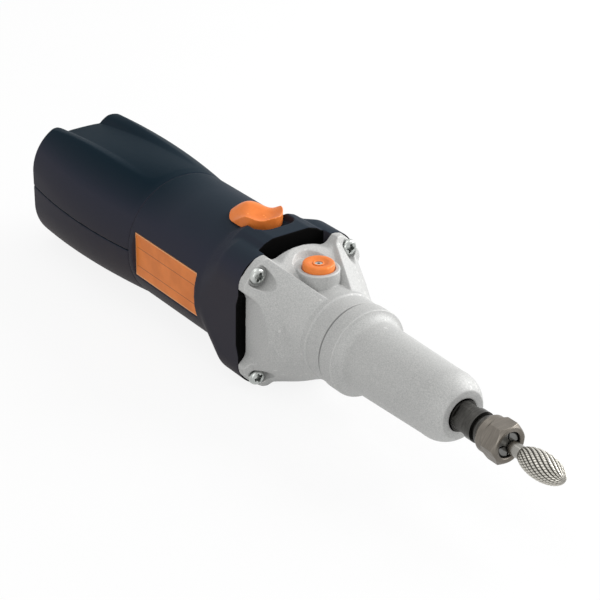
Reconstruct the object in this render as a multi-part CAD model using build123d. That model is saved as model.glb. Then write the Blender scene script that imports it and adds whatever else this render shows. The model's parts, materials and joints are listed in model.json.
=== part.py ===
from build123d import *
import math
import os

# A long-nose electric die grinder: round motor housing, split rear cover, light-alloy
# front casting with a collar and a spindle lock, and a collet with an oval burr.
# Sizes are millimetres. X runs along the spindle to the tip and Z is up. The origin is
# on the spindle axis, in the middle of the clamping band.

# Collar, clamping band and nose barrel
COLLAR_DIAMETER = 43.0
COLLAR_LENGTH = 9.55
JOINT_GROOVE = 0.8
BAND_DIAMETER = 44.0
BAND_LENGTH = 8.9
SHOULDER_LENGTH = 5.0
BARREL_ROOT_DIAMETER = 35.2
BARREL_TIP_DIAMETER = 33.0
SHOULDER_HOLLOW = 0.9
NOSE_REACH = 70.6
NOSE_ROUND_LENGTH = 13.0
NOSE_ROUND_BOW = 1.65
NOSE_FACE_DIAMETER = 23.6
NOSE_BORE_GAP = 0.45
SPIGOT_DIAMETER = 36.0
SPIGOT_LENGTH = 5.65

# Front casting: cone, ears and exhaust flats
CONE_LENGTH = 36.6
CONE_BASE_DIAMETER = 81.2
CONE_LIP = 0.8
CONE_STEP = 0.8
NECK_LENGTH = 3.5
RIM_STEP = 1.2
SIDE_FLAT_STEP = 4.2
EAR_HALF_WIDTH = 10.0
EAR_THICKNESS = 4.2
EAR_BLEND = 5.0
EAR_REACH = 3.8
EAR_EDGE = 0.8
EAR_SHOULDER = 6.5
VALLEY_SLOPE = 0.95
VALLEY_KNEE = 24.0
VALLEY_KNEE_HEIGHT = 25.8
VALLEY_RUN_OUT = 0.6
TOP_VALLEY_FOOT = 23.5
TOP_VALLEY_SLOPE = 0.48
CASTING_CAVITY_DIAMETER = 51.0
CAVITY_NECK_LENGTH = 15.0
BEARING_LIP = 2.0
BEARING_LIP_DEPTH = 2.5

# Four casting screws on a square pattern
SCREW_SPACING = 54.0
SCREW_DIAMETER = 5.0
SCREW_LENGTH = 22.0
SCREW_HEAD_DIAMETER = 8.6
SCREW_HEAD_HEIGHT = 2.6
SCREW_CLEARANCE = 0.3
HEAD_POCKET_GAP = 1.2
DRIVE_WIDTH = 1.2
DRIVE_SPAN = 4.6
DRIVE_DEPTH = 1.6

# Motor housing: round body that swells into four corner bosses
HOUSING_DIAMETER = 69.0
HOUSING_LENGTH = 98.5
HOUSING_WALL = 5.9
BOSS_LENGTH = 17.9
RAMP_LENGTH = 15.7
SCREW_EDGE = 4.6
ROUND_FLAT = 0.2
EXHAUST_TOP_GAP = 5.2
EXHAUST_SIDE_GAP = 1.9
EXHAUST_TOP_WIDTH = 39.0
EXHAUST_SIDE_WIDTH = 21.6
EXHAUST_SIDE_MOUTH = 33.0
BULKHEAD = 4.0
REAR_SPIGOT_GAP = 0.5
REAR_SPIGOT_LENGTH = 8.0
REAR_SPIGOT_WALL = 5.0
LOCK_RIB = 2.2
LOCK_RIB_DEPTH = 1.6
LOCK_RIB_PLAY = 0.2

# Switch platform, pocket and slider
PLATFORM_RISE = 3.8
PLATFORM_WIDTH = 21.0
PLATFORM_BEVEL = 5.1
PLATFORM_BEVEL_DROP = 1.7
PLATFORM_SKIRT = 8.0
PLATFORM_SKIRT_DROP = 5.8
PLATFORM_RAMP_DROP = 5.3
PLATFORM_RAMP = 9.0
PLATFORM_LENGTH = 24.5
POCKET_FRONT = 14.3
POCKET_WIDTH = 22.8
POCKET_CORNER = 6.5
POCKET_TAIL_CORNER = 9.4
POCKET_DEPTH = 5.0
SLIDER_LENGTH = 27.3
SLIDER_TAIL_DROP = 1.7
SLIDER_HUMP_RISE = 2.3
SLIDER_HUMP_SHARE = 0.55
SLIDER_DIP_DROP = 0.6
SLIDER_LIP_RISE = 1.9
SLIDER_SIDE_TAIL_DROP = 4.3
SLIDER_SIDE_HUMP_DROP = 3.9
SLIDER_SIDE_DIP_RISE = 1.9
SLIDER_SIDE_LIP_RISE = 3.4
SLIDER_DIP_SET_BACK = 10.2
SLIDER_NOSE_CORNER = 10.4
SLIDER_TRAVEL = 5.2
SLIDER_PLAY = 0.35
SLIDER_END_ROOM = 0.55
STEM_WIDTH = 6.0
STEM_LENGTH = 8.0
ROD_WIDTH = 7.0
ROD_THICKNESS = 1.8
ROD_UNDER_BORE = 3.2
ROD_ROOM = 0.8

# Rating plate in its flat on the near side
PLATE_LENGTH = 56.0
PLATE_HEIGHT = 23.6
PLATE_THICKNESS = 0.8
PLATE_SEAM_GAP = 3.9
PLATE_EDGE_GAP = 0.4
PLATE_INSET = 3.3

# Split rear cover
COVER_LENGTH = 101.0
COVER_MID = 44.0
COVER_MID_HALF_WIDTH = 38.0
COVER_MID_TOP = 35.5
COVER_MID_TOP_RADIUS = 33.0
COVER_MID_LOW_RADIUS = 31.0
COVER_END_HALF_WIDTH = 33.8
COVER_END_TOP = 34.4
COVER_END_TOP_RADIUS = 26.0
COVER_END_LOW_RADIUS = 24.0
COVER_WALL = 2.8
COVER_EDGE = 2.2
PARTING_HEIGHT = 0.6
CHANNEL_CROWN = 0.4
CHANNEL_END_FLOOR = 26.8
CHANNEL_END_HALF_WIDTH = 10.5
CHANNEL_END_CREST_RISE = 4.0
CHANNEL_END_EXIT_DROP = 3.0
CHANNEL_MID_FLOOR = 32.8
CHANNEL_MID_HALF_WIDTH = 12.5
CHANNEL_MID_CREST_RISE = 0.5
CHANNEL_MID_EXIT_DROP = 3.7
CHANNEL_SEAM_HALF_WIDTH = 14.0
CHANNEL_SEAM_CLEARANCE = 0.5
CHANNEL_CREST_RUN = 7.5
CHANNEL_EXIT_RUN = 8.0
COVER_SCREW_FRONT = 41.0
COVER_SCREW_REAR = 14.0
COVER_SCREW_HALF_SPACING = 23.0
COVER_BOSS_DIAMETER = 9.0
COVER_SCREW_DIAMETER = 3.6
COVER_SCREW_HEAD_DIAMETER = 6.6
COVER_SCREW_HEAD_HEIGHT = 2.4
COVER_SCREW_SEAT = 24.0
COVER_SCREW_LENGTH = 38.0
INTAKE_COUNT = 3
INTAKE_SLOT = 2.4
INTAKE_PITCH = 5.0
INTAKE_FIRST_OFFSET = 14.0
INTAKE_HEIGHT = 22.0

# Cord inlet, with no cord
INLET_BORE = 8.6
BUSH_DIAMETER = 16.0
BUSH_FLANGE_DIAMETER = 20.0
BUSH_FLANGE = 2.0
CLAMP_BEHIND = 16.0
CLAMP_WIDTH = 8.0
CLAMP_SPAN = 28.0
CLAMP_THICKNESS = 4.0
CLAMP_SCREW_HALF_SPACING = 10.0
CLAMP_SCREW_DIAMETER = 3.0
CLAMP_SCREW_LENGTH = 12.0
CLAMP_SCREW_HEAD_DIAMETER = 5.6
CLAMP_SCREW_HEAD_HEIGHT = 2.0

# Motor
STATOR_BEHIND_FLANGE = 31.0
STATOR_ROD_GAP = 1.0
AIR_GAP = 0.6
ARMATURE_DIAMETER = 35.0
ARMATURE_SLOTS = 12
ARMATURE_SLOT_WIDTH = 2.4
ARMATURE_SLOT_DEPTH = 6.0
COIL_END = 9.0
COIL_GAP = 1.5
COIL_INNER_GAP = 1.4
COIL_THICKNESS = 6.0
COIL_HALF_ANGLE = 56.0
POLE_HALF_ANGLE = 38.0
WINDING_END = 8.0
SHAFT_DIAMETER = 12.0
SHAFT_FRONT_DIAMETER = 10.0
SHAFT_REAR_DIAMETER = 8.0
FAN_GAP = 2.6
FAN_WIDTH = 10.0
FAN_BEHIND_FLANGE = 10.0
FAN_PLATE = 1.5
FAN_HUB_DIAMETER = 18.0
FAN_BLADES = 10
FAN_BLADE = 1.6
COMMUTATOR_DIAMETER = 23.0
COMMUTATOR_LENGTH = 14.0
COMMUTATOR_GAP = 9.5

# Brush gear and rear bearing
BRACKET_STEP = 4.6
BRACKET_WALL = 3.5
BRACKET_FLANGE = 3.0
BRACKET_END_WALL = 2.5
BRACKET_END_BORE = 16.0
BRUSH_WIDTH = 6.0
BRUSH_HEIGHT = 9.0
BRUSH_GAP = 0.2
HOLDER_WALL = 1.2
HOLDER_STAND_OFF = 1.5
HOLDER_GAP = 1.0
BRUSH_SPRING_LENGTH = 3.0
BRUSH_SPRING_THICKNESS = 0.8
REAR_BEARING_DIAMETER = 22.0
REAR_BEARING_WIDTH = 7.0
REAR_SLEEVE_WALL = 1.5

# Front motor bearing and its plate
FRONT_BEARING_DIAMETER = 26.0
FRONT_BEARING_WIDTH = 8.0
BEARING_DISC = 3.0
BEARING_HUB_DIAMETER = 32.0
BEARING_HUB_AHEAD = 2.5
BEARING_DISC_LIP = 1.0
BEARING_DISC_LIP_DEPTH = 3.0

# Spindle and its bearings
SPINDLE_DIAMETER = 15.0
SPINDLE_MIDDLE_DIAMETER = 17.0
SPINDLE_TAIL_DIAMETER = 12.0
SPINDLE_TAIL_LENGTH = 21.5
SPINDLE_BEHIND_NUT = 4.5
SPINDLE_FLATS = 13.2
SPINDLE_FLAT_ANGLE = 49.0
SPINDLE_FLAT_GAP = 1.0
SPINDLE_RING = 3.8
SPINDLE_UNDERCUT = 2.0
SPINDLE_UNDERCUT_DEPTH = 0.9
THREAD_DIAMETER = 13.8
THREAD_REACH = 6.5
COLLET_SEAT_DIAMETER = 10.0
COLLET_SEAT_DEPTH = 20.0
SPINDLE_REAR_BEARING_DIAMETER = 28.0
SPINDLE_REAR_BEARING_WIDTH = 8.0
SPINDLE_FRONT_BEARING_DIAMETER = 28.0
SPINDLE_FRONT_BEARING_WIDTH = 7.0
NOSE_LIP = 9.6
SEAL_DIAMETER = 21.0
SEAL_WIDTH = 3.0
SPACER_WALL = 1.5
RUNNING_GAP = 0.02
SEAL_GAP = 0.1

# Coupling with four lock holes
COUPLING_DIAMETER = 21.0
COUPLING_LENGTH = 23.0
COUPLING_GAP = 2.5
COUPLING_WEB = 2.2
LOCK_HOLES = 4
LOCK_HOLE_DEPTH = 3.8

# Spindle lock
LOCK_BEHIND_COLLAR = 20.1
LOCK_BOSS_DIAMETER = 20.6
LOCK_BOSS_TOP = 28.8
LOCK_BOSS_LOW = 15.0
LOCK_RECESS_DIAMETER = 23.4
LOCK_RECESS_DRAFT = 27.0
BUTTON_DIAMETER = 15.4
BUTTON_PROUD = 2.9
BUTTON_HEIGHT = 6.0
BUTTON_GAP = 0.3
BUTTON_ROOF = 2.4
BUTTON_SKIRT = 2.1
BUTTON_DISH_DIAMETER = 11.4
BUTTON_DISH_DEPTH = 0.8
BUTTON_TRAVEL = 4.0
BUTTON_FLOOR_ROOM = 0.3
PIN_DIAMETER = 5.0
PIN_GAP = 0.05
PIN_HOLE_GAP = 0.25
PIN_REST_GAP = 1.0
LOCK_SPRING_WALL = 1.0
LOCK_SPRING_GAP = 0.4
BUTTON_SCREW_DIAMETER = 2.0
BUTTON_SCREW_HEAD_DIAMETER = 3.8
BUTTON_SCREW_HEAD_HEIGHT = 0.8
BUTTON_SCREW_LENGTH = 3.4
BUTTON_SCREW_DRIVE = 1.5

# Collet, nut and burr
NUT_STAND_OFF = 16.9
NUT_LENGTH = 13.3
NUT_ACROSS_FLATS = 17.5
NUT_FLAT_ANGLE = 30.0
NUT_ROUND_LENGTH = 4.2
NUT_ROUND_DIAMETER = 18.2
NUT_REAR_DIAMETER = 17.0
NUT_FRONT_DIAMETER = 16.4
NUT_CHAMFER = 1.6
NUT_BORE = 12.5
NUT_THREAD_GAP = 0.1
NUT_CONE_LENGTH = 2.4
COLLET_SHOULDER_GAP = 0.12
COLLET_FACE_SET_BACK = 1.2
COLLET_GAP = 0.06
COLLET_FACE_GAP = 0.45
COLLET_HEAD_GAP = 0.4
COLLET_SLITS = 4
COLLET_SLIT = 0.8
SHANK_DIAMETER = 6.35
SHANK_GAP = 0.03
SHANK_GRIP = 24.0
BURR_DIAMETER = 12.7
BURR_HALF_LENGTH = 13.6
BURR_REACH = 33.0

# Switch unit and capacitor in the rear cover
SWITCH_CLAMP_GAP = 5.0
SWITCH_LENGTH = 27.0
SWITCH_WIDTH = 20.0
SWITCH_HEIGHT = 24.0
SWITCH_UNDER_ROD = 1.4
PLUNGER_DIAMETER = 4.0
SWITCH_GAP = 1.0
ROD_TAB = 2.0
ROD_TAB_DROP = 7.0
SWITCH_PAD = 4.0
CAPACITOR_DIAMETER = 15.0
CAPACITOR_LENGTH = 27.0
CAPACITOR_GAP = 6.5
CRADLE_WIDTH = 4.0

# Stations along X
band_front = (BAND_LENGTH - JOINT_GROOVE) / 2
collar_front = band_front - BAND_LENGTH
collar_rear = collar_front - COLLAR_LENGTH
shoulder_end = band_front + SHOULDER_LENGTH
nut_rear = NOSE_REACH + NUT_STAND_OFF
nut_front = nut_rear + NUT_LENGTH
flange_face = collar_rear - CONE_LENGTH
head_seat = flange_face + EAR_THICKNESS
top_notch_end = flange_face - EXHAUST_TOP_GAP
side_notch_end = flange_face - EXHAUST_SIDE_GAP
boss_end = flange_face - BOSS_LENGTH
ramp_end = boss_end - RAMP_LENGTH
seam = flange_face - HOUSING_LENGTH
rear_end = seam - COVER_LENGTH
bulkhead_front = seam + BULKHEAD
stator_front = flange_face - STATOR_BEHIND_FLANGE
stator_rear = bulkhead_front + BRACKET_FLANGE + COIL_GAP + COIL_END
fan_front = flange_face - FAN_BEHIND_FLANGE
fan_rear = fan_front - FAN_WIDTH
commutator_front = stator_rear - WINDING_END - COMMUTATOR_GAP
commutator_rear = commutator_front - COMMUTATOR_LENGTH
brush_station = (commutator_front + commutator_rear) / 2
rear_bearing_front = commutator_rear - COMMUTATOR_GAP
rear_bearing_rear = rear_bearing_front - REAR_BEARING_WIDTH
bracket_rear = rear_bearing_rear - BRACKET_END_WALL
spigot_rear = collar_front - SPIGOT_LENGTH
spindle_bearing_rear_back = spigot_rear - SPINDLE_REAR_BEARING_WIDTH
spindle_bearing_front_face = NOSE_REACH - NOSE_LIP
spindle_bearing_front_back = spindle_bearing_front_face - SPINDLE_FRONT_BEARING_WIDTH
spindle_tail = spigot_rear - SPINDLE_TAIL_LENGTH
coupling_front = spindle_bearing_rear_back - COUPLING_GAP
coupling_rear = coupling_front - COUPLING_LENGTH
lock_station = collar_rear - LOCK_BEHIND_COLLAR
pocket_front = flange_face - POCKET_FRONT
slider_front = pocket_front - SLIDER_TRAVEL - SLIDER_END_ROOM
slider_rear = slider_front - SLIDER_LENGTH
pocket_rear = slider_rear - SLIDER_END_ROOM
stem_rear = slider_front - SLIDER_LENGTH / 2 - STEM_LENGTH / 2
clamp_rear = rear_end + CLAMP_BEHIND
switch_rear = clamp_rear + CLAMP_WIDTH + SWITCH_CLAMP_GAP
switch_front = switch_rear + SWITCH_LENGTH
plate_rear = seam + PLATE_SEAM_GAP
thread_end = nut_rear + THREAD_REACH
collet_seat_floor = thread_end - COLLET_SEAT_DEPTH

# Radii and heights that several pieces share
collar_radius = COLLAR_DIAMETER / 2
neck_radius = collar_radius + CONE_STEP
housing_radius = HOUSING_DIAMETER / 2
bore_radius = housing_radius - HOUSING_WALL
spindle_radius = SPINDLE_DIAMETER / 2
screw_offset = SCREW_SPACING / 2
screw_radius = screw_offset * math.sqrt(2)
front_corner = ((housing_radius - screw_offset) * math.sqrt(2) - SCREW_EDGE) / (math.sqrt(2) - 1)
ear_radius = screw_radius + EAR_REACH
rim_radius = housing_radius - RIM_STEP
side_flat = housing_radius - SIDE_FLAT_STEP
plate_flat = housing_radius - PLATE_INSET
spigot_radius = housing_radius - COVER_WALL - REAR_SPIGOT_GAP
spigot_bore = spigot_radius - REAR_SPIGOT_WALL
bracket_radius = bore_radius - BRACKET_STEP
platform_top = housing_radius + PLATFORM_RISE
pocket_floor = platform_top - POCKET_DEPTH
rod_low = bore_radius - ROD_UNDER_BORE
rod_top = rod_low + ROD_THICKNESS
stator_flat = rod_low - STATOR_ROD_GAP
switch_top = rod_low - SWITCH_UNDER_ROD
switch_low = switch_top - SWITCH_HEIGHT
capacitor_height = switch_low - CAPACITOR_GAP - CAPACITOR_DIAMETER / 2
holder_reach = spigot_bore - HOLDER_GAP
brush_start = COMMUTATOR_DIAMETER / 2 + BRUSH_GAP
brush_end = holder_reach - BRUSH_SPRING_LENGTH
button_top = LOCK_BOSS_TOP + BUTTON_PROUD
button_low = button_top - BUTTON_HEIGHT
button_ceiling = button_top - BUTTON_ROOF
button_floor = button_low - BUTTON_TRAVEL - BUTTON_FLOOR_ROOM
pin_tip = COUPLING_DIAMETER / 2 + PIN_REST_GAP
shank_radius = SHANK_DIAMETER / 2
shank_rear = nut_front - SHANK_GRIP
burr_tip = nut_front + BURR_REACH
burr_middle = burr_tip - BURR_HALF_LENGTH
burr_neck = burr_middle - BURR_HALF_LENGTH * math.sqrt(1 - (SHANK_DIAMETER / BURR_DIAMETER) ** 2)
FAR = 200.0

ON_BASE = (Align.CENTER, Align.CENTER, Align.MIN)
QUARTERS = ((1, 1), (-1, 1), (-1, -1), (1, -1))


def station(x):
    """Plane across the spindle at x, with Y to the right and Z up."""
    return Plane.YZ.offset(x)


def rod(x_from, x_to, radius, y=0.0, z=0.0):
    """Round bar along X."""
    return station(x_from) * Pos(y, z) * Cylinder(radius, x_to - x_from, align=ON_BASE)


def tube(x_from, x_to, outer, inner):
    """Ring along X."""
    return rod(x_from, x_to, outer) - rod(x_from, x_to, inner)


def post(x, y, z_from, z_to, radius):
    """Round bar along Z."""
    return Pos(x, y, z_from) * Cylinder(radius, z_to - z_from, align=ON_BASE)


def block(x_from, x_to, y_from, y_to, z_from, z_to):
    """Box between two corners."""
    middle = Pos((x_from + x_to) / 2, (y_from + y_to) / 2, (z_from + z_to) / 2)
    return middle * Box(x_to - x_from, y_to - y_from, z_to - z_from)


def turned(*points):
    """Solid turned about the spindle axis from (x, radius) points."""
    return revolve(make_face(Polyline(*points, close=True)), Axis.X)


def around(piece, count):
    """Copies of a piece, evenly spaced about the spindle axis."""
    return [Rot(360.0 * index / count, 0, 0) * piece for index in range(count)]


def joined(pieces):
    """All pieces fused into one."""
    whole = pieces[0]
    for piece in pieces[1:]:
        whole = whole + piece
    return whole


def group(pieces):
    """Separate solids kept together in one node."""
    return Compound(children=[solid for piece in pieces for solid in piece.solids()])


def front_outline():
    """Square with rounded corners across the front of the motor housing."""
    return RectangleRounded(HOUSING_DIAMETER, HOUSING_DIAMETER, front_corner)


def round_outline():
    """Round outline drawn with the same eight edges as the front square."""
    return RectangleRounded(HOUSING_DIAMETER, HOUSING_DIAMETER, housing_radius - ROUND_FLAT)


def platform_face(top, x):
    """Cross-section of the switch platform at x."""
    half = PLATFORM_WIDTH / 2
    brow = half + PLATFORM_BEVEL
    skirt = brow + PLATFORM_SKIRT
    shoulder = top - PLATFORM_BEVEL_DROP
    low = shoulder - PLATFORM_SKIRT_DROP
    outline = Polyline(
        (-skirt, low),
        (skirt, low),
        (brow, shoulder),
        (half, top),
        (-half, top),
        (-brow, shoulder),
        close=True,
    )
    return station(x) * make_face(outline)


def switch_platform():
    """Raised top in front of the grip that carries the switch pocket."""
    ramp_front = flange_face - PLATFORM_LENGTH
    ramp_rear = ramp_front - PLATFORM_RAMP
    level = extrude(platform_face(platform_top, ramp_front), amount=PLATFORM_LENGTH)
    low_face = platform_face(platform_top - PLATFORM_RAMP_DROP, ramp_rear)
    ramp = loft([low_face, platform_face(platform_top, ramp_front)], ruled=True)
    return level + ramp


def exhaust_notches():
    """Air gaps between the corner bosses, on all four sides."""
    half_top = EXHAUST_TOP_WIDTH / 2
    half_side = EXHAUST_SIDE_WIDTH / 2
    half_mouth = EXHAUST_SIDE_MOUTH / 2
    top = block(top_notch_end, flange_face, -half_top, half_top, 0, FAR)
    outline = Polyline(
        (flange_face, -half_mouth),
        (side_notch_end, -half_side),
        (side_notch_end, half_side),
        (flange_face, half_mouth),
        close=True,
    )
    low = Pos(0, 0, -FAR) * extrude(make_face(outline), amount=FAR)
    sides = extrude(Plane.XZ * make_face(outline), amount=FAR, both=True)
    return joined([top, low, sides])


def rod_passage(x_from, x_to):
    """Slot that lets the switch rod through a wall."""
    half = ROD_WIDTH / 2 + ROD_ROOM
    return block(x_from, x_to, -half, half, rod_low - ROD_ROOM, rod_top + ROD_ROOM)


def pocket_plan(rear, front, play, nose_corner):
    """Plan of the switch pocket, drawn in by the play for what slides in it."""
    plan = Pos((rear + front) / 2, 0) * Rectangle(front - rear, POCKET_WIDTH - 2 * play)
    plan = fillet(plan.vertices().group_by(Axis.X)[-1], nose_corner)
    return fillet(plan.vertices().group_by(Axis.X)[0], POCKET_TAIL_CORNER - play)


def motor_housing():
    body = extrude(station(seam) * round_outline(), amount=ramp_end - seam)
    swell = loft([station(ramp_end) * round_outline(), station(boss_end) * front_outline()], ruled=True)
    front = extrude(station(boss_end) * front_outline(), amount=BOSS_LENGTH)
    spigot_end = seam - REAR_SPIGOT_LENGTH
    spigot = rod(spigot_end, seam, spigot_radius)
    shell = joined([body, swell, front, switch_platform(), spigot])
    shell -= rod(bulkhead_front, flange_face, bore_radius)
    shell -= rod(spigot_end, bulkhead_front, bracket_radius)
    shell -= rod(spigot_end, seam, spigot_bore)
    groove_rear = seam - REAR_SPIGOT_LENGTH / 2 - LOCK_RIB / 2 - LOCK_RIB_PLAY
    groove_front = groove_rear + LOCK_RIB + 2 * LOCK_RIB_PLAY
    groove_floor = spigot_radius - LOCK_RIB_DEPTH - LOCK_RIB_PLAY
    shell -= tube(groove_rear, groove_front, spigot_radius, groove_floor)
    shell -= exhaust_notches()
    shell -= rod_passage(spigot_end, bulkhead_front)
    pocket = pocket_plan(pocket_rear, pocket_front, 0, POCKET_CORNER)
    shell -= extrude(Pos(0, 0, pocket_floor) * pocket, amount=FAR)
    stem_half = STEM_WIDTH / 2 + SLIDER_PLAY
    stem_front = stem_rear + STEM_LENGTH + SLIDER_TRAVEL + SLIDER_PLAY
    shell -= block(stem_rear - SLIDER_PLAY, stem_front, -stem_half, stem_half, 0, pocket_floor)
    gap = PLATE_EDGE_GAP
    plate_half = PLATE_HEIGHT / 2 + gap
    plate_front = plate_rear + PLATE_LENGTH
    shell -= block(plate_rear - gap, plate_front + gap, -FAR, -plate_flat, -plate_half, plate_half)
    thread_length = SCREW_LENGTH - EAR_THICKNESS + SCREW_CLEARANCE
    for y, z in QUARTERS:
        place = (y * screw_offset, z * screw_offset)
        shell -= rod(flange_face - thread_length, flange_face, SCREW_DIAMETER / 2, *place)
    return shell


def rating_plate():
    half = PLATE_HEIGHT / 2
    outer = plate_flat + PLATE_THICKNESS
    return block(plate_rear, plate_rear + PLATE_LENGTH, -outer, -plate_flat, -half, half)


def cover_outline(half_width, top, top_radius, low_radius, inset):
    """Rounded cross-section of the rear cover, flat underneath."""
    bottom = inset - housing_radius
    height = top - inset - bottom
    outline = Pos(0, bottom + height / 2) * Rectangle(2 * (half_width - inset), height)
    outline = fillet(outline.vertices().group_by(Axis.Y)[-1], top_radius - inset)
    return fillet(outline.vertices().group_by(Axis.Y)[0], low_radius - inset)


def seam_outline(inset):
    """Round outline of the rear cover where it meets the motor housing."""
    radius = housing_radius - ROUND_FLAT
    return cover_outline(housing_radius, housing_radius, radius, radius, inset)


def cover_form(inset):
    """Closed form of the rear cover, drawn in by the inset."""
    middle = cover_outline(
        COVER_MID_HALF_WIDTH, COVER_MID_TOP, COVER_MID_TOP_RADIUS, COVER_MID_LOW_RADIUS, inset
    )
    end = cover_outline(
        COVER_END_HALF_WIDTH, COVER_END_TOP, COVER_END_TOP_RADIUS, COVER_END_LOW_RADIUS, inset
    )
    end_station = rear_end + max(inset, COVER_EDGE)
    sections = [
        station(end_station) * end,
        station(seam - COVER_MID) * middle,
        station(seam) * seam_outline(inset),
    ]
    return loft(sections)


def cover_edge():
    """Bevelled rear edge of the cover."""
    large = cover_outline(
        COVER_END_HALF_WIDTH, COVER_END_TOP, COVER_END_TOP_RADIUS, COVER_END_LOW_RADIUS, 0
    )
    small = cover_outline(
        COVER_END_HALF_WIDTH, COVER_END_TOP, COVER_END_TOP_RADIUS, COVER_END_LOW_RADIUS, COVER_EDGE
    )
    return loft([station(rear_end) * small, station(rear_end + COVER_EDGE) * large], ruled=True)


def channel_face(x, half_width, crown, edge, crest, exit_height):
    """Cross-section of the saddle channel, open upwards, with rounded banks."""
    crest_y = half_width + CHANNEL_CREST_RUN
    exit_y = crest_y + CHANNEL_EXIT_RUN
    floor = ThreePointArc((-half_width, edge), (0, crown), (half_width, edge))
    right_bank = Spline((half_width, edge), (crest_y, crest), (exit_y, exit_height))
    left_bank = Spline((-exit_y, exit_height), (-crest_y, crest), (-half_width, edge))
    lid = Polyline((exit_y, exit_height), (exit_y, FAR), (-exit_y, FAR), (-exit_y, exit_height))
    return station(x) * make_face([floor, right_bank, lid, left_bank])


def saddle_channel():
    """Channel along the top of the rear cover that fades out at the seam."""
    overrun = COVER_EDGE
    end_edge = CHANNEL_END_FLOOR - CHANNEL_CROWN
    end_crest = end_edge + CHANNEL_END_CREST_RISE
    rear = channel_face(
        rear_end - overrun,
        CHANNEL_END_HALF_WIDTH,
        CHANNEL_END_FLOOR,
        end_edge,
        end_crest,
        end_crest - CHANNEL_END_EXIT_DROP,
    )
    mid_edge = CHANNEL_MID_FLOOR - CHANNEL_CROWN
    mid_crest = mid_edge + CHANNEL_MID_CREST_RISE
    middle = channel_face(
        seam - COVER_MID,
        CHANNEL_MID_HALF_WIDTH,
        CHANNEL_MID_FLOOR,
        mid_edge,
        mid_crest,
        mid_crest - CHANNEL_MID_EXIT_DROP,
    )
    round_over = housing_radius + CHANNEL_SEAM_CLEARANCE
    crest_y = CHANNEL_SEAM_HALF_WIDTH + CHANNEL_CREST_RUN
    front = channel_face(
        seam + overrun,
        CHANNEL_SEAM_HALF_WIDTH,
        round_over,
        math.sqrt(round_over**2 - CHANNEL_SEAM_HALF_WIDTH**2),
        math.sqrt(round_over**2 - crest_y**2),
        math.sqrt(round_over**2 - (crest_y + CHANNEL_EXIT_RUN) ** 2),
    )
    return loft([rear, middle, front])


def cover_screw_places():
    """Plan positions of the four rear cover screws."""
    stations = (seam - COVER_SCREW_FRONT, rear_end + COVER_SCREW_REAR)
    sides = (-COVER_SCREW_HALF_SPACING, COVER_SCREW_HALF_SPACING)
    return [(along, side) for along in stations for side in sides]


def rear_cover():
    """Whole rear cover with its bosses, before it is split."""
    channel = saddle_channel()
    solid = (cover_form(0) + cover_edge()) - channel
    cavity = cover_form(COVER_WALL) - Pos(0, 0, -COVER_WALL) * channel
    shell = solid - cavity
    rib_rear = seam - REAR_SPIGOT_LENGTH / 2 - LOCK_RIB / 2
    rib_inner = spigot_radius - LOCK_RIB_DEPTH
    rib = tube(rib_rear, rib_rear + LOCK_RIB, housing_radius - COVER_WALL / 2, rib_inner)
    shell += rib
    fillings = [post(x, y, -FAR, FAR, COVER_BOSS_DIAMETER / 2) for x, y in cover_screw_places()]
    half = SWITCH_WIDTH / 2
    for pad_front in (switch_front, switch_rear + SWITCH_PAD):
        fillings.append(block(pad_front - SWITCH_PAD, pad_front, -half, half, switch_top, FAR))
    cradle_half = CAPACITOR_DIAMETER / 2
    cradle_front = (switch_front + switch_rear) / 2 + CRADLE_WIDTH / 2
    cradle_top = capacitor_height - CAPACITOR_DIAMETER / 2
    fillings.append(
        block(cradle_front - CRADLE_WIDTH, cradle_front, -cradle_half, cradle_half, -FAR, cradle_top)
    )
    clamp_low = PARTING_HEIGHT - INLET_BORE / 2 - CLAMP_THICKNESS
    for side in (-1, 1):
        y = side * CLAMP_SCREW_HALF_SPACING
        fillings.append(post(clamp_rear + CLAMP_WIDTH / 2, y, -FAR, clamp_low, CLAMP_WIDTH / 2))
    for filling in fillings:
        shell += filling & solid
    inner_face = rear_end + COVER_WALL
    shell -= rod(rear_end, inner_face, BUSH_DIAMETER / 2, 0, PARTING_HEIGHT)
    for index in range(INTAKE_COUNT):
        for side in (-1, 1):
            y = side * (INTAKE_FIRST_OFFSET + index * INTAKE_PITCH)
            half_slot = INTAKE_SLOT / 2
            z_low = PARTING_HEIGHT - INTAKE_HEIGHT / 2
            z_high = z_low + INTAKE_HEIGHT
            shell -= block(rear_end, inner_face, y - half_slot, y + half_slot, z_low, z_high)
    return shell


def rear_cover_upper(whole):
    upper = whole & block(rear_end, seam, -FAR, FAR, PARTING_HEIGHT, FAR)
    tip = COVER_SCREW_LENGTH - COVER_SCREW_SEAT
    for x, y in cover_screw_places():
        upper -= post(x, y, 0, tip, COVER_SCREW_DIAMETER / 2)
    return upper


def rear_cover_lower(whole):
    lower = whole & block(rear_end, seam, -FAR, FAR, -FAR, PARTING_HEIGHT)
    seat = -COVER_SCREW_SEAT
    for x, y in cover_screw_places():
        lower -= post(x, y, -FAR, seat, COVER_SCREW_HEAD_DIAMETER / 2 + SCREW_CLEARANCE)
        lower -= post(x, y, seat, PARTING_HEIGHT, COVER_SCREW_DIAMETER / 2 + SCREW_CLEARANCE)
    clamp_middle = clamp_rear + CLAMP_WIDTH / 2
    clamp_low = PARTING_HEIGHT - INLET_BORE / 2 - CLAMP_THICKNESS
    bite = CLAMP_SCREW_LENGTH - CLAMP_THICKNESS
    for side in (-1, 1):
        y = side * CLAMP_SCREW_HALF_SPACING
        lower -= post(clamp_middle, y, clamp_low - bite, clamp_low, CLAMP_SCREW_DIAMETER / 2)
    return lower


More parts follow.
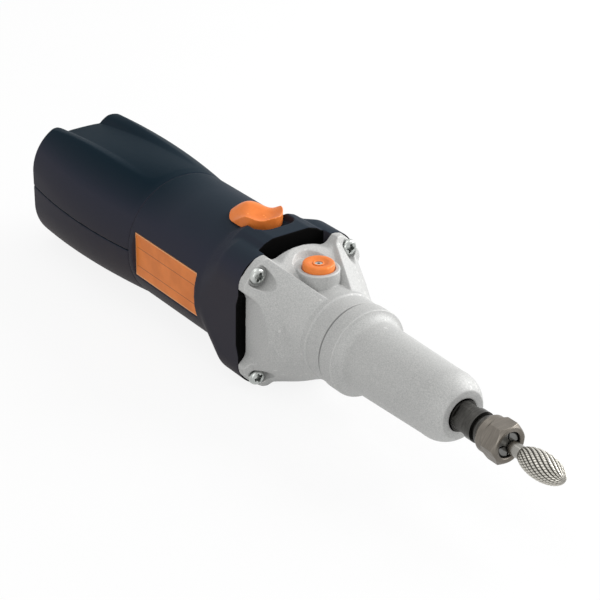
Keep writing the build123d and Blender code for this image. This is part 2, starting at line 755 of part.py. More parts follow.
def rear_cover_screws():
    seat = -COVER_SCREW_SEAT
    screws = []
    for x, y in cover_screw_places():
        head = post(x, y, seat - COVER_SCREW_HEAD_HEIGHT, seat, COVER_SCREW_HEAD_DIAMETER / 2)
        socket_top = seat - COVER_SCREW_HEAD_HEIGHT / 2
        socket = post(x, y, seat - COVER_SCREW_HEAD_HEIGHT, socket_top, COVER_SCREW_DIAMETER / 2)
        shank = post(x, y, seat, seat + COVER_SCREW_LENGTH, COVER_SCREW_DIAMETER / 2)
        screws.append(head + shank - socket)
    return group(screws)


def cord_bush():
    bore = INLET_BORE / 2
    inner_end = rear_end + COVER_WALL + BUSH_FLANGE
    outline = [
        (rear_end, bore),
        (rear_end, BUSH_DIAMETER / 2),
        (rear_end + COVER_WALL, BUSH_DIAMETER / 2),
        (rear_end + COVER_WALL, BUSH_FLANGE_DIAMETER / 2),
        (inner_end, BUSH_FLANGE_DIAMETER / 2),
        (inner_end, bore),
    ]
    return Pos(0, 0, PARTING_HEIGHT) * turned(*outline)


def cord_clamp():
    top = PARTING_HEIGHT - INLET_BORE / 2
    low = top - CLAMP_THICKNESS
    half = CLAMP_SPAN / 2
    bar = block(clamp_rear, clamp_rear + CLAMP_WIDTH, -half, half, low, top)
    for side in (-1, 1):
        y = side * CLAMP_SCREW_HALF_SPACING
        bar -= post(clamp_rear + CLAMP_WIDTH / 2, y, low, top, CLAMP_SCREW_DIAMETER / 2)
    return bar


def cord_clamp_screws():
    middle = clamp_rear + CLAMP_WIDTH / 2
    seat = PARTING_HEIGHT - INLET_BORE / 2
    screws = []
    for side in (-1, 1):
        y = side * CLAMP_SCREW_HALF_SPACING
        head = post(middle, y, seat, seat + CLAMP_SCREW_HEAD_HEIGHT, CLAMP_SCREW_HEAD_DIAMETER / 2)
        shank = post(middle, y, seat - CLAMP_SCREW_LENGTH, seat, CLAMP_SCREW_DIAMETER / 2)
        screws.append(head + shank)
    return group(screws)


def flange_outline():
    """Round rim with flats on three sides and four diagonal ears."""
    reach = HOUSING_DIAMETER
    flats = Pos(0, (reach - side_flat) / 2) * Rectangle(2 * side_flat, reach + side_flat)
    rim = Circle(rim_radius) & flats
    arm = Rectangle(4 * reach, 2 * EAR_HALF_WIDTH)
    arms = Rot(0, 0, 45) * arm + Rot(0, 0, -45) * arm
    outline = rim + (arms & front_outline())
    widened = offset(outline, amount=EAR_BLEND, kind=Kind.ARC)
    blended = offset(widened, amount=-EAR_BLEND, kind=Kind.ARC)
    return blended


def casting_valley(turn, slopes):
    """Hollow between two webs of the casting, down to its sloped floor and the round neck."""
    apex = EAR_HALF_WIDTH * math.sqrt(2)
    opening = make_face(Polyline((0, apex), (FAR - apex, FAR), (apex - FAR, FAR), close=True))
    hollow = extrude(station(flange_face) * opening, amount=collar_rear - flange_face)
    foot = slopes[-1][0]
    section = make_face(Polyline(*slopes, (foot, 0), (flange_face, 0), close=True))
    floor = extrude(Plane.XZ * section, amount=FAR, both=True)
    return Rot(turn, 0, 0) * (hollow - floor) - rod(flange_face, collar_rear, neck_radius)


def casting_valleys():
    """Valleys on top, under the lock boss, and on the three flat sides."""
    top_foot = flange_face + TOP_VALLEY_FOOT
    top_height = neck_radius + TOP_VALLEY_FOOT * TOP_VALLEY_SLOPE
    top = [(flange_face, top_height), (top_foot, neck_radius)]
    knee = (flange_face + VALLEY_KNEE, VALLEY_KNEE_HEIGHT)
    rim_height = VALLEY_KNEE_HEIGHT + VALLEY_KNEE * VALLEY_SLOPE
    side = [(flange_face, rim_height), knee, (collar_rear - NECK_LENGTH, neck_radius + VALLEY_RUN_OUT)]
    return [casting_valley(0, top)] + [casting_valley(turn, side) for turn in (90, 180, 270)]


def front_casting():
    cone_drop = (CONE_BASE_DIAMETER / 2 - neck_radius) / (CONE_LENGTH - NECK_LENGTH)
    cone = turned(
        (flange_face, 0),
        (flange_face, ear_radius),
        (head_seat, ear_radius - EAR_EDGE),
        (flange_face + EAR_SHOULDER, CONE_BASE_DIAMETER / 2 - cone_drop * EAR_SHOULDER),
        (collar_rear - NECK_LENGTH, neck_radius),
        (collar_rear - CONE_LIP, neck_radius),
        (collar_rear, collar_radius),
        (collar_front - JOINT_GROOVE, collar_radius),
        (collar_front, collar_radius - JOINT_GROOVE),
        (collar_front, 0),
    )
    body = cone & extrude(station(flange_face) * flange_outline(), amount=collar_front - flange_face)
    for valley in casting_valleys():
        body -= valley
    boss_radius = LOCK_BOSS_DIAMETER / 2
    recess = LOCK_RECESS_DIAMETER / 2
    recess_depth = ear_radius - LOCK_BOSS_TOP
    recess_mouth = recess + recess_depth * math.tan(math.radians(LOCK_RECESS_DRAFT))
    body -= Pos(lock_station, 0, LOCK_BOSS_TOP) * Cone(recess, recess_mouth, recess_depth, align=ON_BASE)
    neck = SPINDLE_REAR_BEARING_DIAMETER / 2 - BEARING_LIP_DEPTH
    lip_rear = spindle_bearing_rear_back - BEARING_LIP
    chamber = COUPLING_DIAMETER / 2 + BEARING_LIP_DEPTH
    seat = SPINDLE_REAR_BEARING_DIAMETER / 2
    body -= turned(
        (flange_face, 0),
        (flange_face, CASTING_CAVITY_DIAMETER / 2),
        (lip_rear - CAVITY_NECK_LENGTH, chamber),
        (lip_rear, chamber),
        (lip_rear, neck),
        (spindle_bearing_rear_back, neck),
        (spindle_bearing_rear_back, seat),
        (spigot_rear, seat),
        (spigot_rear, SPIGOT_DIAMETER / 2),
        (collar_front, SPIGOT_DIAMETER / 2),
        (collar_front, 0),
    )
    body += post(lock_station, 0, LOCK_BOSS_LOW, LOCK_BOSS_TOP, boss_radius)
    body -= post(lock_station, 0, button_floor, FAR, BUTTON_DIAMETER / 2 + BUTTON_GAP)
    body -= post(lock_station, 0, 0, button_floor, PIN_DIAMETER / 2 + PIN_GAP)
    for y, z in QUARTERS:
        place = (y * screw_offset, z * screw_offset)
        body -= rod(flange_face, head_seat, SCREW_DIAMETER / 2 + SCREW_CLEARANCE, *place)
        body -= rod(head_seat, collar_front, SCREW_HEAD_DIAMETER / 2 + HEAD_POCKET_GAP, *place)
    return body


def casting_screws():
    tip = head_seat - SCREW_LENGTH
    screws = []
    for y, z in QUARTERS:
        place = (y * screw_offset, z * screw_offset)
        head_top = head_seat + SCREW_HEAD_HEIGHT
        screw = rod(head_seat, head_top, SCREW_HEAD_DIAMETER / 2, *place)
        screw += rod(tip, head_seat, SCREW_DIAMETER / 2, *place)
        crown = screw.edges().filter_by(GeomType.CIRCLE).group_by(Axis.X)[-1]
        screw = fillet(crown, SCREW_HEAD_HEIGHT / 2)
        half_width = DRIVE_WIDTH / 2
        half_span = DRIVE_SPAN / 2
        floor = head_top - DRIVE_DEPTH
        for across, along in ((half_width, half_span), (half_span, half_width)):
            screw -= block(
                floor, head_top, place[0] - across, place[0] + across, place[1] - along, place[1] + along
            )
        screws.append(screw)
    return group(screws)


def nose_barrel():
    root = BARREL_ROOT_DIAMETER / 2
    tip = BARREL_TIP_DIAMETER / 2
    face = NOSE_FACE_DIAMETER / 2
    band = BAND_DIAMETER / 2
    inner = SPINDLE_FRONT_BEARING_DIAMETER / 2
    round_start = NOSE_REACH - NOSE_ROUND_LENGTH
    seal_rear = spindle_bearing_front_face
    nose_bore = spindle_radius + NOSE_BORE_GAP
    before = Polyline(
        (spigot_rear, inner),
        (spigot_rear, SPIGOT_DIAMETER / 2),
        (collar_front, SPIGOT_DIAMETER / 2),
        (collar_front, band - JOINT_GROOVE),
        (collar_front + JOINT_GROOVE, band),
        (band_front, band),
    )
    shoulder = SagittaArc((band_front, band), (shoulder_end, root), -SHOULDER_HOLLOW)
    barrel = Line((shoulder_end, root), (round_start, tip))
    nose = SagittaArc((round_start, tip), (NOSE_REACH, face), NOSE_ROUND_BOW)
    inside = Polyline(
        (NOSE_REACH, face),
        (NOSE_REACH, nose_bore),
        (seal_rear + SEAL_WIDTH, nose_bore),
        (seal_rear + SEAL_WIDTH, SEAL_DIAMETER / 2),
        (seal_rear, SEAL_DIAMETER / 2),
        (seal_rear, inner),
        (spigot_rear, inner),
    )
    return revolve(make_face([before, shoulder, barrel, nose, inside]), Axis.X)


def felt_seal():
    rear = spindle_bearing_front_face
    return tube(rear, rear + SEAL_WIDTH, SEAL_DIAMETER / 2, spindle_radius + SEAL_GAP)


def bearing_spacer():
    outer = SPINDLE_FRONT_BEARING_DIAMETER / 2
    return tube(spigot_rear, spindle_bearing_front_back, outer, outer - SPACER_WALL)


def spindle_bearing_front():
    outer = SPINDLE_FRONT_BEARING_DIAMETER / 2
    inner = spindle_radius + RUNNING_GAP
    return tube(spindle_bearing_front_back, spindle_bearing_front_face, outer, inner)


def spindle_bearing_rear():
    outer = SPINDLE_REAR_BEARING_DIAMETER / 2
    inner = SPINDLE_TAIL_DIAMETER / 2 + RUNNING_GAP
    return tube(spindle_bearing_rear_back, spigot_rear, outer, inner)


def spindle():
    tail = SPINDLE_TAIL_DIAMETER / 2
    middle = SPINDLE_MIDDLE_DIAMETER / 2
    thread = THREAD_DIAMETER / 2
    undercut = thread - SPINDLE_UNDERCUT_DEPTH
    visible_end = nut_rear - SPINDLE_BEHIND_NUT
    seat = COLLET_SEAT_DIAMETER / 2
    shaft = turned(
        (spindle_tail, 0),
        (spindle_tail, tail),
        (spigot_rear, tail),
        (spigot_rear, middle),
        (spindle_bearing_front_back, middle),
        (spindle_bearing_front_back, spindle_radius),
        (visible_end, spindle_radius),
        (visible_end, undercut),
        (visible_end + SPINDLE_UNDERCUT, undercut),
        (visible_end + SPINDLE_UNDERCUT, thread),
        (thread_end, thread),
        (thread_end, seat),
        (collet_seat_floor, seat),
        (collet_seat_floor, 0),
    )
    flats_rear = NOSE_REACH + SPINDLE_FLAT_GAP
    flats_front = visible_end - SPINDLE_RING
    square = Rot(0, 0, SPINDLE_FLAT_ANGLE) * Rectangle(SPINDLE_FLATS, SPINDLE_FLATS)
    kept = extrude(station(flats_rear) * square, amount=flats_front - flats_rear)
    return shaft - (rod(flats_rear, flats_front, SPINDLE_DIAMETER) - kept)


def coupling():
    outer = COUPLING_DIAMETER / 2
    web_rear = spindle_tail - COUPLING_WEB
    body = rod(coupling_rear, coupling_front, outer)
    body -= rod(spindle_tail, coupling_front, SPINDLE_TAIL_DIAMETER / 2)
    body -= rod(coupling_rear, web_rear, SHAFT_FRONT_DIAMETER / 2)
    hole = post(lock_station, 0, outer - LOCK_HOLE_DEPTH, FAR, PIN_DIAMETER / 2 + PIN_HOLE_GAP)
    for copy in around(hole, LOCK_HOLES):
        body -= copy
    return body


def armature_shaft():
    rear = SHAFT_REAR_DIAMETER / 2
    main = SHAFT_DIAMETER / 2
    front = SHAFT_FRONT_DIAMETER / 2
    step = fan_front
    return turned(
        (rear_bearing_rear, 0),
        (rear_bearing_rear, rear),
        (rear_bearing_front, rear),
        (rear_bearing_front, main),
        (step, main),
        (step, front),
        (spindle_tail - COUPLING_WEB, front),
        (spindle_tail - COUPLING_WEB, 0),
    )


def armature_core():
    outer = ARMATURE_DIAMETER / 2
    core = tube(stator_rear, stator_front, outer, SHAFT_DIAMETER / 2)
    half = ARMATURE_SLOT_WIDTH / 2
    slot = block(stator_rear, stator_front, -half, half, outer - ARMATURE_SLOT_DEPTH, FAR)
    for copy in around(slot, ARMATURE_SLOTS):
        core -= copy
    return core


def armature_windings():
    low = SHAFT_DIAMETER / 2
    high = ARMATURE_DIAMETER / 2 - ARMATURE_SLOT_WIDTH
    bevel = (high - low) / 4
    ends = []
    for face, sign in ((stator_rear, -1), (stator_front, 1)):
        tip = face + sign * WINDING_END
        corner = tip - sign * bevel
        ends.append(turned((face, low), (face, high), (corner, high), (tip, high - bevel), (tip, low)))
    return group(ends)


def commutator():
    return tube(commutator_rear, commutator_front, COMMUTATOR_DIAMETER / 2, SHAFT_DIAMETER / 2)


def fan():
    bore = SHAFT_DIAMETER / 2
    hub = FAN_HUB_DIAMETER / 2
    outer = bore_radius - FAN_GAP
    wheel = tube(fan_rear, fan_front, hub, bore) + tube(fan_rear, fan_rear + FAN_PLATE, outer, bore)
    half = FAN_BLADE / 2
    blade = block(fan_rear, fan_front, -half, half, (bore + hub) / 2, outer - FAN_BLADE)
    return joined([wheel] + around(blade, FAN_BLADES))


def coil_sector(x_from, x_to, inner, outer, spread):
    """Sector of a ring about the Y axis direction, half angle spread."""
    ring = tube(x_from, x_to, outer, inner)
    reach = 2 * outer
    rise = reach * math.tan(math.radians(spread))
    outline = make_face(Polyline((0, 0), (reach, -rise), (reach, rise), close=True))
    return ring & extrude(station(x_from) * outline, amount=x_to - x_from)


def field_coil():
    """Coil wound round the pole on the far side."""
    inner = ARMATURE_DIAMETER / 2 + AIR_GAP + COIL_INNER_GAP
    outer = inner + COIL_THICKNESS
    whole = coil_sector(stator_rear - COIL_END, stator_front + COIL_END, inner, outer, COIL_HALF_ANGLE)
    pole = coil_sector(
        stator_rear, stator_front, inner - COIL_INNER_GAP, outer + COIL_THICKNESS, POLE_HALF_ANGLE
    )
    return whole - pole


def field_coils():
    return group([field_coil(), Rot(180, 0, 0) * field_coil()])


def stator_core():
    bore = ARMATURE_DIAMETER / 2 + AIR_GAP
    core = tube(stator_rear, stator_front, bore_radius, bore)
    core &= block(stator_rear, stator_front, -FAR, FAR, -stator_flat, stator_flat)
    return core - field_coil() - Rot(180, 0, 0) * field_coil()


def brush_bracket():
    outer = bracket_radius
    sleeve = REAR_BEARING_DIAMETER / 2 + REAR_SLEEVE_WALL
    flange_front = bulkhead_front + BRACKET_FLANGE
    body = rod(bracket_rear, flange_front, outer) + rod(bulkhead_front, flange_front, bore_radius)
    body -= rod(rear_bearing_front, flange_front, outer - BRACKET_WALL)
    body -= rod(rear_bearing_rear, rear_bearing_front, sleeve)
    body -= rod(bracket_rear, rear_bearing_rear, BRACKET_END_BORE / 2)
    body -= rod_passage(bulkhead_front, flange_front)
    for side in (-1, 1):
        body -= holder_block(side, HOLDER_WALL)
    return body


def brush_block(side, start, end, margin=0.0):
    """Radial bar of a carbon brush's section, thickened by the margin."""
    low, high = sorted((side * start, side * end))
    half_x = BRUSH_WIDTH / 2 + margin
    half_z = BRUSH_HEIGHT / 2 + margin
    return block(brush_station - half_x, brush_station + half_x, low, high, -half_z, half_z)


def holder_block(side, margin):
    """Space of one brush holder, with or without its wall."""
    return brush_block(side, COMMUTATOR_DIAMETER / 2 + HOLDER_STAND_OFF, holder_reach, margin)


def brush_holders():
    return group([holder_block(side, HOLDER_WALL) - holder_block(side, 0) for side in (-1, 1)])


def carbon_brushes():
    return group([brush_block(side, brush_start, brush_end) for side in (-1, 1)])


def brush_springs():
    """Bowed leaf springs behind the brushes."""
    leaves = []
    for side in (-1, 1):
        bar = brush_block(side, brush_end, holder_reach)
        inner = brush_end + BRUSH_SPRING_THICKNESS
        outer = holder_reach - BRUSH_SPRING_THICKNESS
        low, high = sorted((side * inner, side * outer))
        closed = brush_station - BRUSH_WIDTH / 2 + BRUSH_SPRING_THICKNESS
        opened = brush_station + BRUSH_WIDTH / 2
        hollow = block(closed, opened, low, high, -BRUSH_HEIGHT, BRUSH_HEIGHT)
        leaves.append(bar - hollow)
    return group(leaves)


def rear_motor_bearing():
    inner = SHAFT_REAR_DIAMETER / 2
    return tube(rear_bearing_rear, rear_bearing_front, REAR_BEARING_DIAMETER / 2, inner + RUNNING_GAP)


def rear_bearing_sleeve():
    inner = REAR_BEARING_DIAMETER / 2
    return tube(rear_bearing_rear, rear_bearing_front, inner + REAR_SLEEVE_WALL, inner)


def bearing_plate():
    hub = BEARING_HUB_DIAMETER / 2
    seat = FRONT_BEARING_DIAMETER / 2
    front = flange_face + BEARING_HUB_AHEAD
    seat_rear = front - FRONT_BEARING_WIDTH
    rear = seat_rear - BEARING_DISC_LIP
    return turned(
        (rear, seat - BEARING_DISC_LIP_DEPTH),
        (rear, hub),
        (flange_face - BEARING_DISC, hub),
        (flange_face - BEARING_DISC, bore_radius),
        (flange_face, bore_radius),
        (flange_face, hub),
        (front, hub),
        (front, seat),
        (seat_rear, seat),
        (seat_rear, seat - BEARING_DISC_LIP_DEPTH),
    )


def front_motor_bearing():
    front = flange_face + BEARING_HUB_AHEAD
    inner = SHAFT_FRONT_DIAMETER / 2 + RUNNING_GAP
    return tube(front - FRONT_BEARING_WIDTH, front, FRONT_BEARING_DIAMETER / 2, inner)


def lock_button():
    button = post(lock_station, 0, button_low, button_top, BUTTON_DIAMETER / 2)
    button -= post(lock_station, 0, button_low, button_ceiling, BUTTON_DIAMETER / 2 - BUTTON_SKIRT)
    dish = Pos(lock_station, 0, button_top - BUTTON_DISH_DEPTH) * Cone(
        BUTTON_SCREW_HEAD_DIAMETER / 2, BUTTON_DISH_DIAMETER / 2, BUTTON_DISH_DEPTH, align=ON_BASE
    )
    button -= dish
    head_seat_height = button_top - BUTTON_DISH_DEPTH - BUTTON_SCREW_HEAD_HEIGHT
    button -= post(lock_station, 0, head_seat_height, button_top, BUTTON_SCREW_HEAD_DIAMETER / 2)
    button -= post(lock_station, 0, button_low, head_seat_height, BUTTON_SCREW_DIAMETER / 2)
    return button


def lock_button_screw():
    seat = button_top - BUTTON_DISH_DEPTH - BUTTON_SCREW_HEAD_HEIGHT
    top = seat + BUTTON_SCREW_HEAD_HEIGHT
    screw = post(lock_station, 0, seat, top, BUTTON_SCREW_HEAD_DIAMETER / 2)
    screw += post(lock_station, 0, seat - BUTTON_SCREW_LENGTH, seat, BUTTON_SCREW_DIAMETER / 2)
    socket = Pos(lock_station, 0, top - BUTTON_SCREW_HEAD_HEIGHT / 2) * extrude(
        RegularPolygon(BUTTON_SCREW_DRIVE / 2, 6), amount=BUTTON_SCREW_HEAD_HEIGHT
    )
    return screw - socket


def lock_pin():
    seat = button_top - BUTTON_DISH_DEPTH - BUTTON_SCREW_HEAD_HEIGHT
    pin = post(lock_station, 0, pin_tip, button_ceiling, PIN_DIAMETER / 2)
    hole_low = seat - BUTTON_SCREW_LENGTH
    return pin - post(lock_station, 0, hole_low, button_ceiling, BUTTON_SCREW_DIAMETER / 2)


def lock_spring():
    """Return spring round the lock pin, as a plain sleeve of its outer size."""
    inner = PIN_DIAMETER / 2 + LOCK_SPRING_GAP
    outer = inner + LOCK_SPRING_WALL
    sleeve = post(lock_station, 0, button_floor, button_ceiling, outer)
    return sleeve - post(lock_station, 0, button_floor, button_ceiling, inner)


def slider_profile(y, tail_drop, hump_rise, dip_rise, lip_rise):
    """Side view of the slider: low tail, hump, dip for the thumb and front lip."""
    tail = (slider_rear, platform_top - tail_drop)
    dip = (slider_front - SLIDER_DIP_SET_BACK, platform_top + dip_rise)
    hump_place = slider_rear + SLIDER_HUMP_SHARE * (dip[0] - slider_rear)
    hump = (hump_place, platform_top + hump_rise)
    lip = (slider_front, platform_top + lip_rise)
    wave = Spline(tail, hump, dip, lip)
    outline = Polyline(lip, (slider_front, 0), (slider_rear, 0), tail)
    return Plane.XZ.offset(-y) * make_face([wave, outline])


def switch_slider():
    half = POCKET_WIDTH / 2
    plan = pocket_plan(slider_rear, slider_front, SLIDER_PLAY, SLIDER_NOSE_CORNER)
    column = extrude(Pos(0, 0, pocket_floor + SLIDER_PLAY) * plan, amount=FAR)
    middle = (SLIDER_TAIL_DROP, SLIDER_HUMP_RISE, -SLIDER_DIP_DROP, SLIDER_LIP_RISE)
    side = (SLIDER_SIDE_TAIL_DROP, -SLIDER_SIDE_HUMP_DROP, SLIDER_SIDE_DIP_RISE, SLIDER_SIDE_LIP_RISE)
    wave = loft([slider_profile(-half, *side), slider_profile(0, *middle), slider_profile(half, *side)])
    stem_half = STEM_WIDTH / 2
    stem_top = pocket_floor + SLIDER_PLAY
    stem = block(stem_rear, stem_rear + STEM_LENGTH, -stem_half, stem_half, rod_top, stem_top)
    return (wave & column) + stem


def switch_rod():
    half = ROD_WIDTH / 2
    rear = switch_front + SWITCH_GAP
    bar = block(rear, stem_rear + STEM_LENGTH, -half, half, rod_low, rod_top)
    return bar + block(rear, rear + ROD_TAB, -half, half, rod_low - ROD_TAB_DROP, rod_low)


def switch_unit():
    half = SWITCH_WIDTH / 2
    body = block(switch_rear, switch_front, -half, half, switch_low, switch_top)
    radius = PLUNGER_DIAMETER / 2
    plunger_height = rod_low - ROD_TAB_DROP + radius
    plunger = rod(switch_front, switch_front + SWITCH_GAP / 2, radius, 0, plunger_height)
    return body + plunger


def capacitor():
    middle = (switch_front + switch_rear) / 2
    half = CAPACITOR_LENGTH / 2
    return rod(middle - half, middle + half, CAPACITOR_DIAMETER / 2, 0, capacitor_height)


def collet():
    face = nut_front - COLLET_FACE_SET_BACK
    head = NUT_BORE / 2 - COLLET_HEAD_GAP
    body = COLLET_SEAT_DIAMETER / 2 - COLLET_GAP
    shoulder = THREAD_DIAMETER / 2 - COLLET_SHOULDER_GAP
    shoulder_rear = thread_end + COLLET_FACE_GAP
    cone_end = nut_front - NUT_CHAMFER - COLLET_SHOULDER_GAP
    cone_start = cone_end - NUT_CONE_LENGTH
    bore = shank_radius + SHANK_GAP
    rear = collet_seat_floor + COLLET_FACE_GAP
    shape = turned(
        (rear, bore),
        (rear, body),
        (shoulder_rear, body),
        (shoulder_rear, shoulder),
        (cone_start, shoulder),
        (cone_end, head),
        (face, head),
        (face, bore),
    )
    half = COLLET_SLIT / 2
    slit = block(shoulder_rear, face, -half, half, 0, FAR)
    for copy in around(slit, COLLET_SLITS):
        shape -= copy
    return shape


def collet_nut():
    corner = NUT_ACROSS_FLATS / math.sqrt(3)
    thread = THREAD_DIAMETER / 2 + NUT_THREAD_GAP
    bore = NUT_BORE / 2
    hex_start = nut_rear + NUT_ROUND_LENGTH
    cone_end = nut_front - NUT_CHAMFER
    cone_start = cone_end - NUT_CONE_LENGTH
    envelope = turned(
        (nut_rear, thread),
        (nut_rear, NUT_REAR_DIAMETER / 2),
        (nut_rear + NUT_CHAMFER, NUT_ROUND_DIAMETER / 2),
        (hex_start, NUT_ROUND_DIAMETER / 2),
        (hex_start + NUT_CHAMFER / 2, corner),
        (nut_front - NUT_CHAMFER, corner),
        (nut_front, NUT_FRONT_DIAMETER / 2),
        (nut_front, bore),
        (cone_end, bore),
        (cone_start, thread),
    )
    outline = RegularPolygon(NUT_ACROSS_FLATS / 2, 6, major_radius=False, rotation=NUT_FLAT_ANGLE)
    hexagon = extrude(station(hex_start) * outline, amount=FAR)
    turned_part = rod(nut_rear, hex_start, FAR)
    return envelope & (hexagon + turned_part)


def burr_shank():
    return rod(shank_rear, burr_neck, shank_radius)


def burr_head():
    """Oval head, cut square where it meets the shank."""
    half = Pos(burr_middle, 0) * Ellipse(BURR_HALF_LENGTH, BURR_DIAMETER / 2)
    half &= Pos(burr_middle, FAR / 2) * Rectangle(FAR, FAR)
    oval = revolve(half, Axis.X)
    return oval & block(burr_neck, burr_tip, -FAR, FAR, -FAR, FAR)


def main():
    os.makedirs("parts", exist_ok=True)
    whole_cover = rear_cover()
    pieces = {
        "motor_housing": motor_housing(),
        "rating_plate": rating_plate(),
        "rear_cover_upper": rear_cover_upper(whole_cover),
        "rear_cover_lower": rear_cover_lower(whole_cover),
        "rear_cover_screws": rear_cover_screws(),
        "cord_bush": cord_bush(),
        "cord_clamp": cord_clamp(),
        "cord_clamp_screws": cord_clamp_screws(),
        "front_casting": front_casting(),
        "casting_screws": casting_screws(),
        "nose_barrel": nose_barrel(),
        "felt_seal": felt_seal(),
        "bearing_spacer": bearing_spacer(),
        "spindle_bearing_front": spindle_bearing_front(),
        "spindle_bearing_rear": spindle_bearing_rear(),
        "spindle": spindle(),
        "coupling": coupling(),
        "armature_shaft": armature_shaft(),
        "armature_core": armature_core(),
        "armature_windings": armature_windings(),
        "commutator": commutator(),
        "fan": fan(),
        "stator_core": stator_core(),
        "field_coils": field_coils(),
        "brush_bracket": brush_bracket(),
        "brush_holders": brush_holders(),
        "carbon_brushes": carbon_brushes(),
        "brush_springs": brush_springs(),
        "rear_motor_bearing": rear_motor_bearing(),
        "rear_bearing_sleeve": rear_bearing_sleeve(),
        "bearing_plate": bearing_plate(),
        "front_motor_bearing": front_motor_bearing(),
        "lock_button": lock_button(),
        "lock_button_screw": lock_button_screw(),
        "lock_pin": lock_pin(),
        "lock_spring": lock_spring(),
        "switch_slider": switch_slider(),
        "switch_rod": switch_rod(),
        "switch_unit": switch_unit(),
        "capacitor": capacitor(),
        "collet": collet(),
        "collet_nut": collet_nut(),
        "burr_shank": burr_shank(),
        "burr_head": burr_head(),
    }
    for name, piece in pieces.items():
        export_step(piece, f"parts/{name}.step")


main()
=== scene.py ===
import json
import math

import bmesh
import bpy
import numpy as np
from mathutils import Matrix, Vector


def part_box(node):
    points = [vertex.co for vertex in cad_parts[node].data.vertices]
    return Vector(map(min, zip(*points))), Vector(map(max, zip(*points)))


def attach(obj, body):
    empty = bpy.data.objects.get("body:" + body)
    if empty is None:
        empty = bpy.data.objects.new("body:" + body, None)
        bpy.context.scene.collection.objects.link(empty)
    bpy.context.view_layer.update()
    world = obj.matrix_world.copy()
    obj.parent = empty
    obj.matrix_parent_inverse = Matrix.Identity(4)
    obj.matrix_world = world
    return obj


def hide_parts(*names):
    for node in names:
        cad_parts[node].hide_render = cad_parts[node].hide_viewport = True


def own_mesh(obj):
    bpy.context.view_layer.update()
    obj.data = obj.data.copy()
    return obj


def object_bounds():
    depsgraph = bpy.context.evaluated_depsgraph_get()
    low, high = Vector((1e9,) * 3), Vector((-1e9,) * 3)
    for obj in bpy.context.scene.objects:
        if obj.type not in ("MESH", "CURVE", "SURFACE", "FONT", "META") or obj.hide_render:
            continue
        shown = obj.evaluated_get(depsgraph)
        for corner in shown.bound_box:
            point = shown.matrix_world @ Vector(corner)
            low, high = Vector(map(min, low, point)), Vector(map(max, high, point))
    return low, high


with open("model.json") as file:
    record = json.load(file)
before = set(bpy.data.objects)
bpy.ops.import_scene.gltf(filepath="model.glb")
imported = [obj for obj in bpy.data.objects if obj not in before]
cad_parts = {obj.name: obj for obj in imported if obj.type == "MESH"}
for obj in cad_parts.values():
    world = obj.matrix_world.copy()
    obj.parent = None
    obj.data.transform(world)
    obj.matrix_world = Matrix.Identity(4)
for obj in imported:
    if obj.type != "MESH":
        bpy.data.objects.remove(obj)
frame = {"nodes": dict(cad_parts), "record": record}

# A long-nose die grinder in a white studio. X runs along the spindle to the tip and Z is
# up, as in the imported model. Sizes are millimetres, and MM turns them into metres.

CAD_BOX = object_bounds()
MM = 0.001
NODES = frame["nodes"]
RECORD = frame["record"]
SLOTS = {part["node"]: part["material_slot"] for part in RECORD["subparts"]}
BODIES = {node: body for body, nodes in RECORD["behaviour"]["bodies"].items() for node in nodes}
MATERIALS = {}

# Camera of the photograph
FRAME_PIXELS = 600
FOCAL_PIXELS = 1800
SENSOR = 36.0
CAMERA_YAW = 52.779
CAMERA_PITCH = 27.671
CAMERA_ROLL = 1.1386
CAMERA_PLACE = (562.163, -463.798, 407.480)
NEAREST_SEEN = 0.01

# Edge rounding of the moulded and cast pieces: voxel size, rounds of light smoothing on all
# edges and rounds of heavy smoothing where shapes flow into each other
SOFT_PIECES = {
    "motor_housing": (0.5, 6, 45),
    "rear_cover_upper": (0.55, 7, 0),
    "rear_cover_lower": (0.55, 7, 0),
    "front_casting": (0.38, 2, 9),
    "nose_barrel": (0.34, 2, 0),
    "switch_slider": (0.3, 5, 0),
}
SMOOTH_FACTOR = 0.5
FLOW_STEPS = 10
MOST_TRIANGLES = 190000

# Housing and casting features whose edges stay crisp
FLANGE = -51.0
SEAM = -149.5
POCKET = (-98.9, -65.3, 11.4)
PLATE = (-145.6, -89.6, 11.8)
NOTCH_DEPTH = 5.2
NOTCH_TOP_HALF = 19.5
NOTCH_SIDE_DEPTH = 1.9
NOTCH_SIDE_HALF = 16.5
BORE_RADIUS = 29.5
LOCK_STATION = -34.5
LOCK_RECESS_RADIUS = 14.0
COLLAR_REAR = -14.4
JOINT = -4.85

# Distances from those features over which the heavy smoothing goes from none to full
CRISP_FADE = (0.8, 4.0)
PLATE_FADE = (0.8, 3.0)
SKIN_FADE = (2, 4)
SEAM_FADE = (2, 5)
END_FADE = (1.5, 6)
FLANGE_FADE = (1, 4)
HEAD_FADE = (2.0, 4.0)
LOCK_FADE = (0, 2)

# Other bounds of the heavy smoothing: the platform's crown, which takes less of it, heights
# above which pocket and lock recess count, the plate's side and the casting's cone
CROWN_HEIGHTS = (30, 33)
CROWN_FADE = (10, 16)
CROWN_CUT = 0.8
POCKET_ABOVE = 22
POCKET_LEAST = 0.1
PLATE_SIDE = -20
CONE_RADII = (19, 21)
LOCK_ABOVE = 15

# Slider's stem: the height of its top, and the share of its width that is kept
STEM_TOP = 33.3
STEM_SLIM = 0.85

# Body plastic's tones: painted bounce light below, on the sides, in clouds, painted shade on top,
# painted shade on the saddle and in the vents
BODY_UNDER_PAINTED_BOUNCE = (0.052, 0.045, 0.047, 1)
BODY_SIDE = (0.03, 0.033, 0.048, 1)
BODY_CLOUD = (0.034, 0.034, 0.046, 1)
BODY_TOP_PAINTED_SHADE = (0.022, 0.031, 0.042, 1)
BODY_SADDLE_PAINTED_SHADE = (0.0055, 0.0145, 0.023, 1)
BODY_VENT_PAINTED_SHADE = (0.003, 0.003, 0.003, 1)
SADDLE_FADE = (-5, 25)
VENT_MARGIN = 0.6

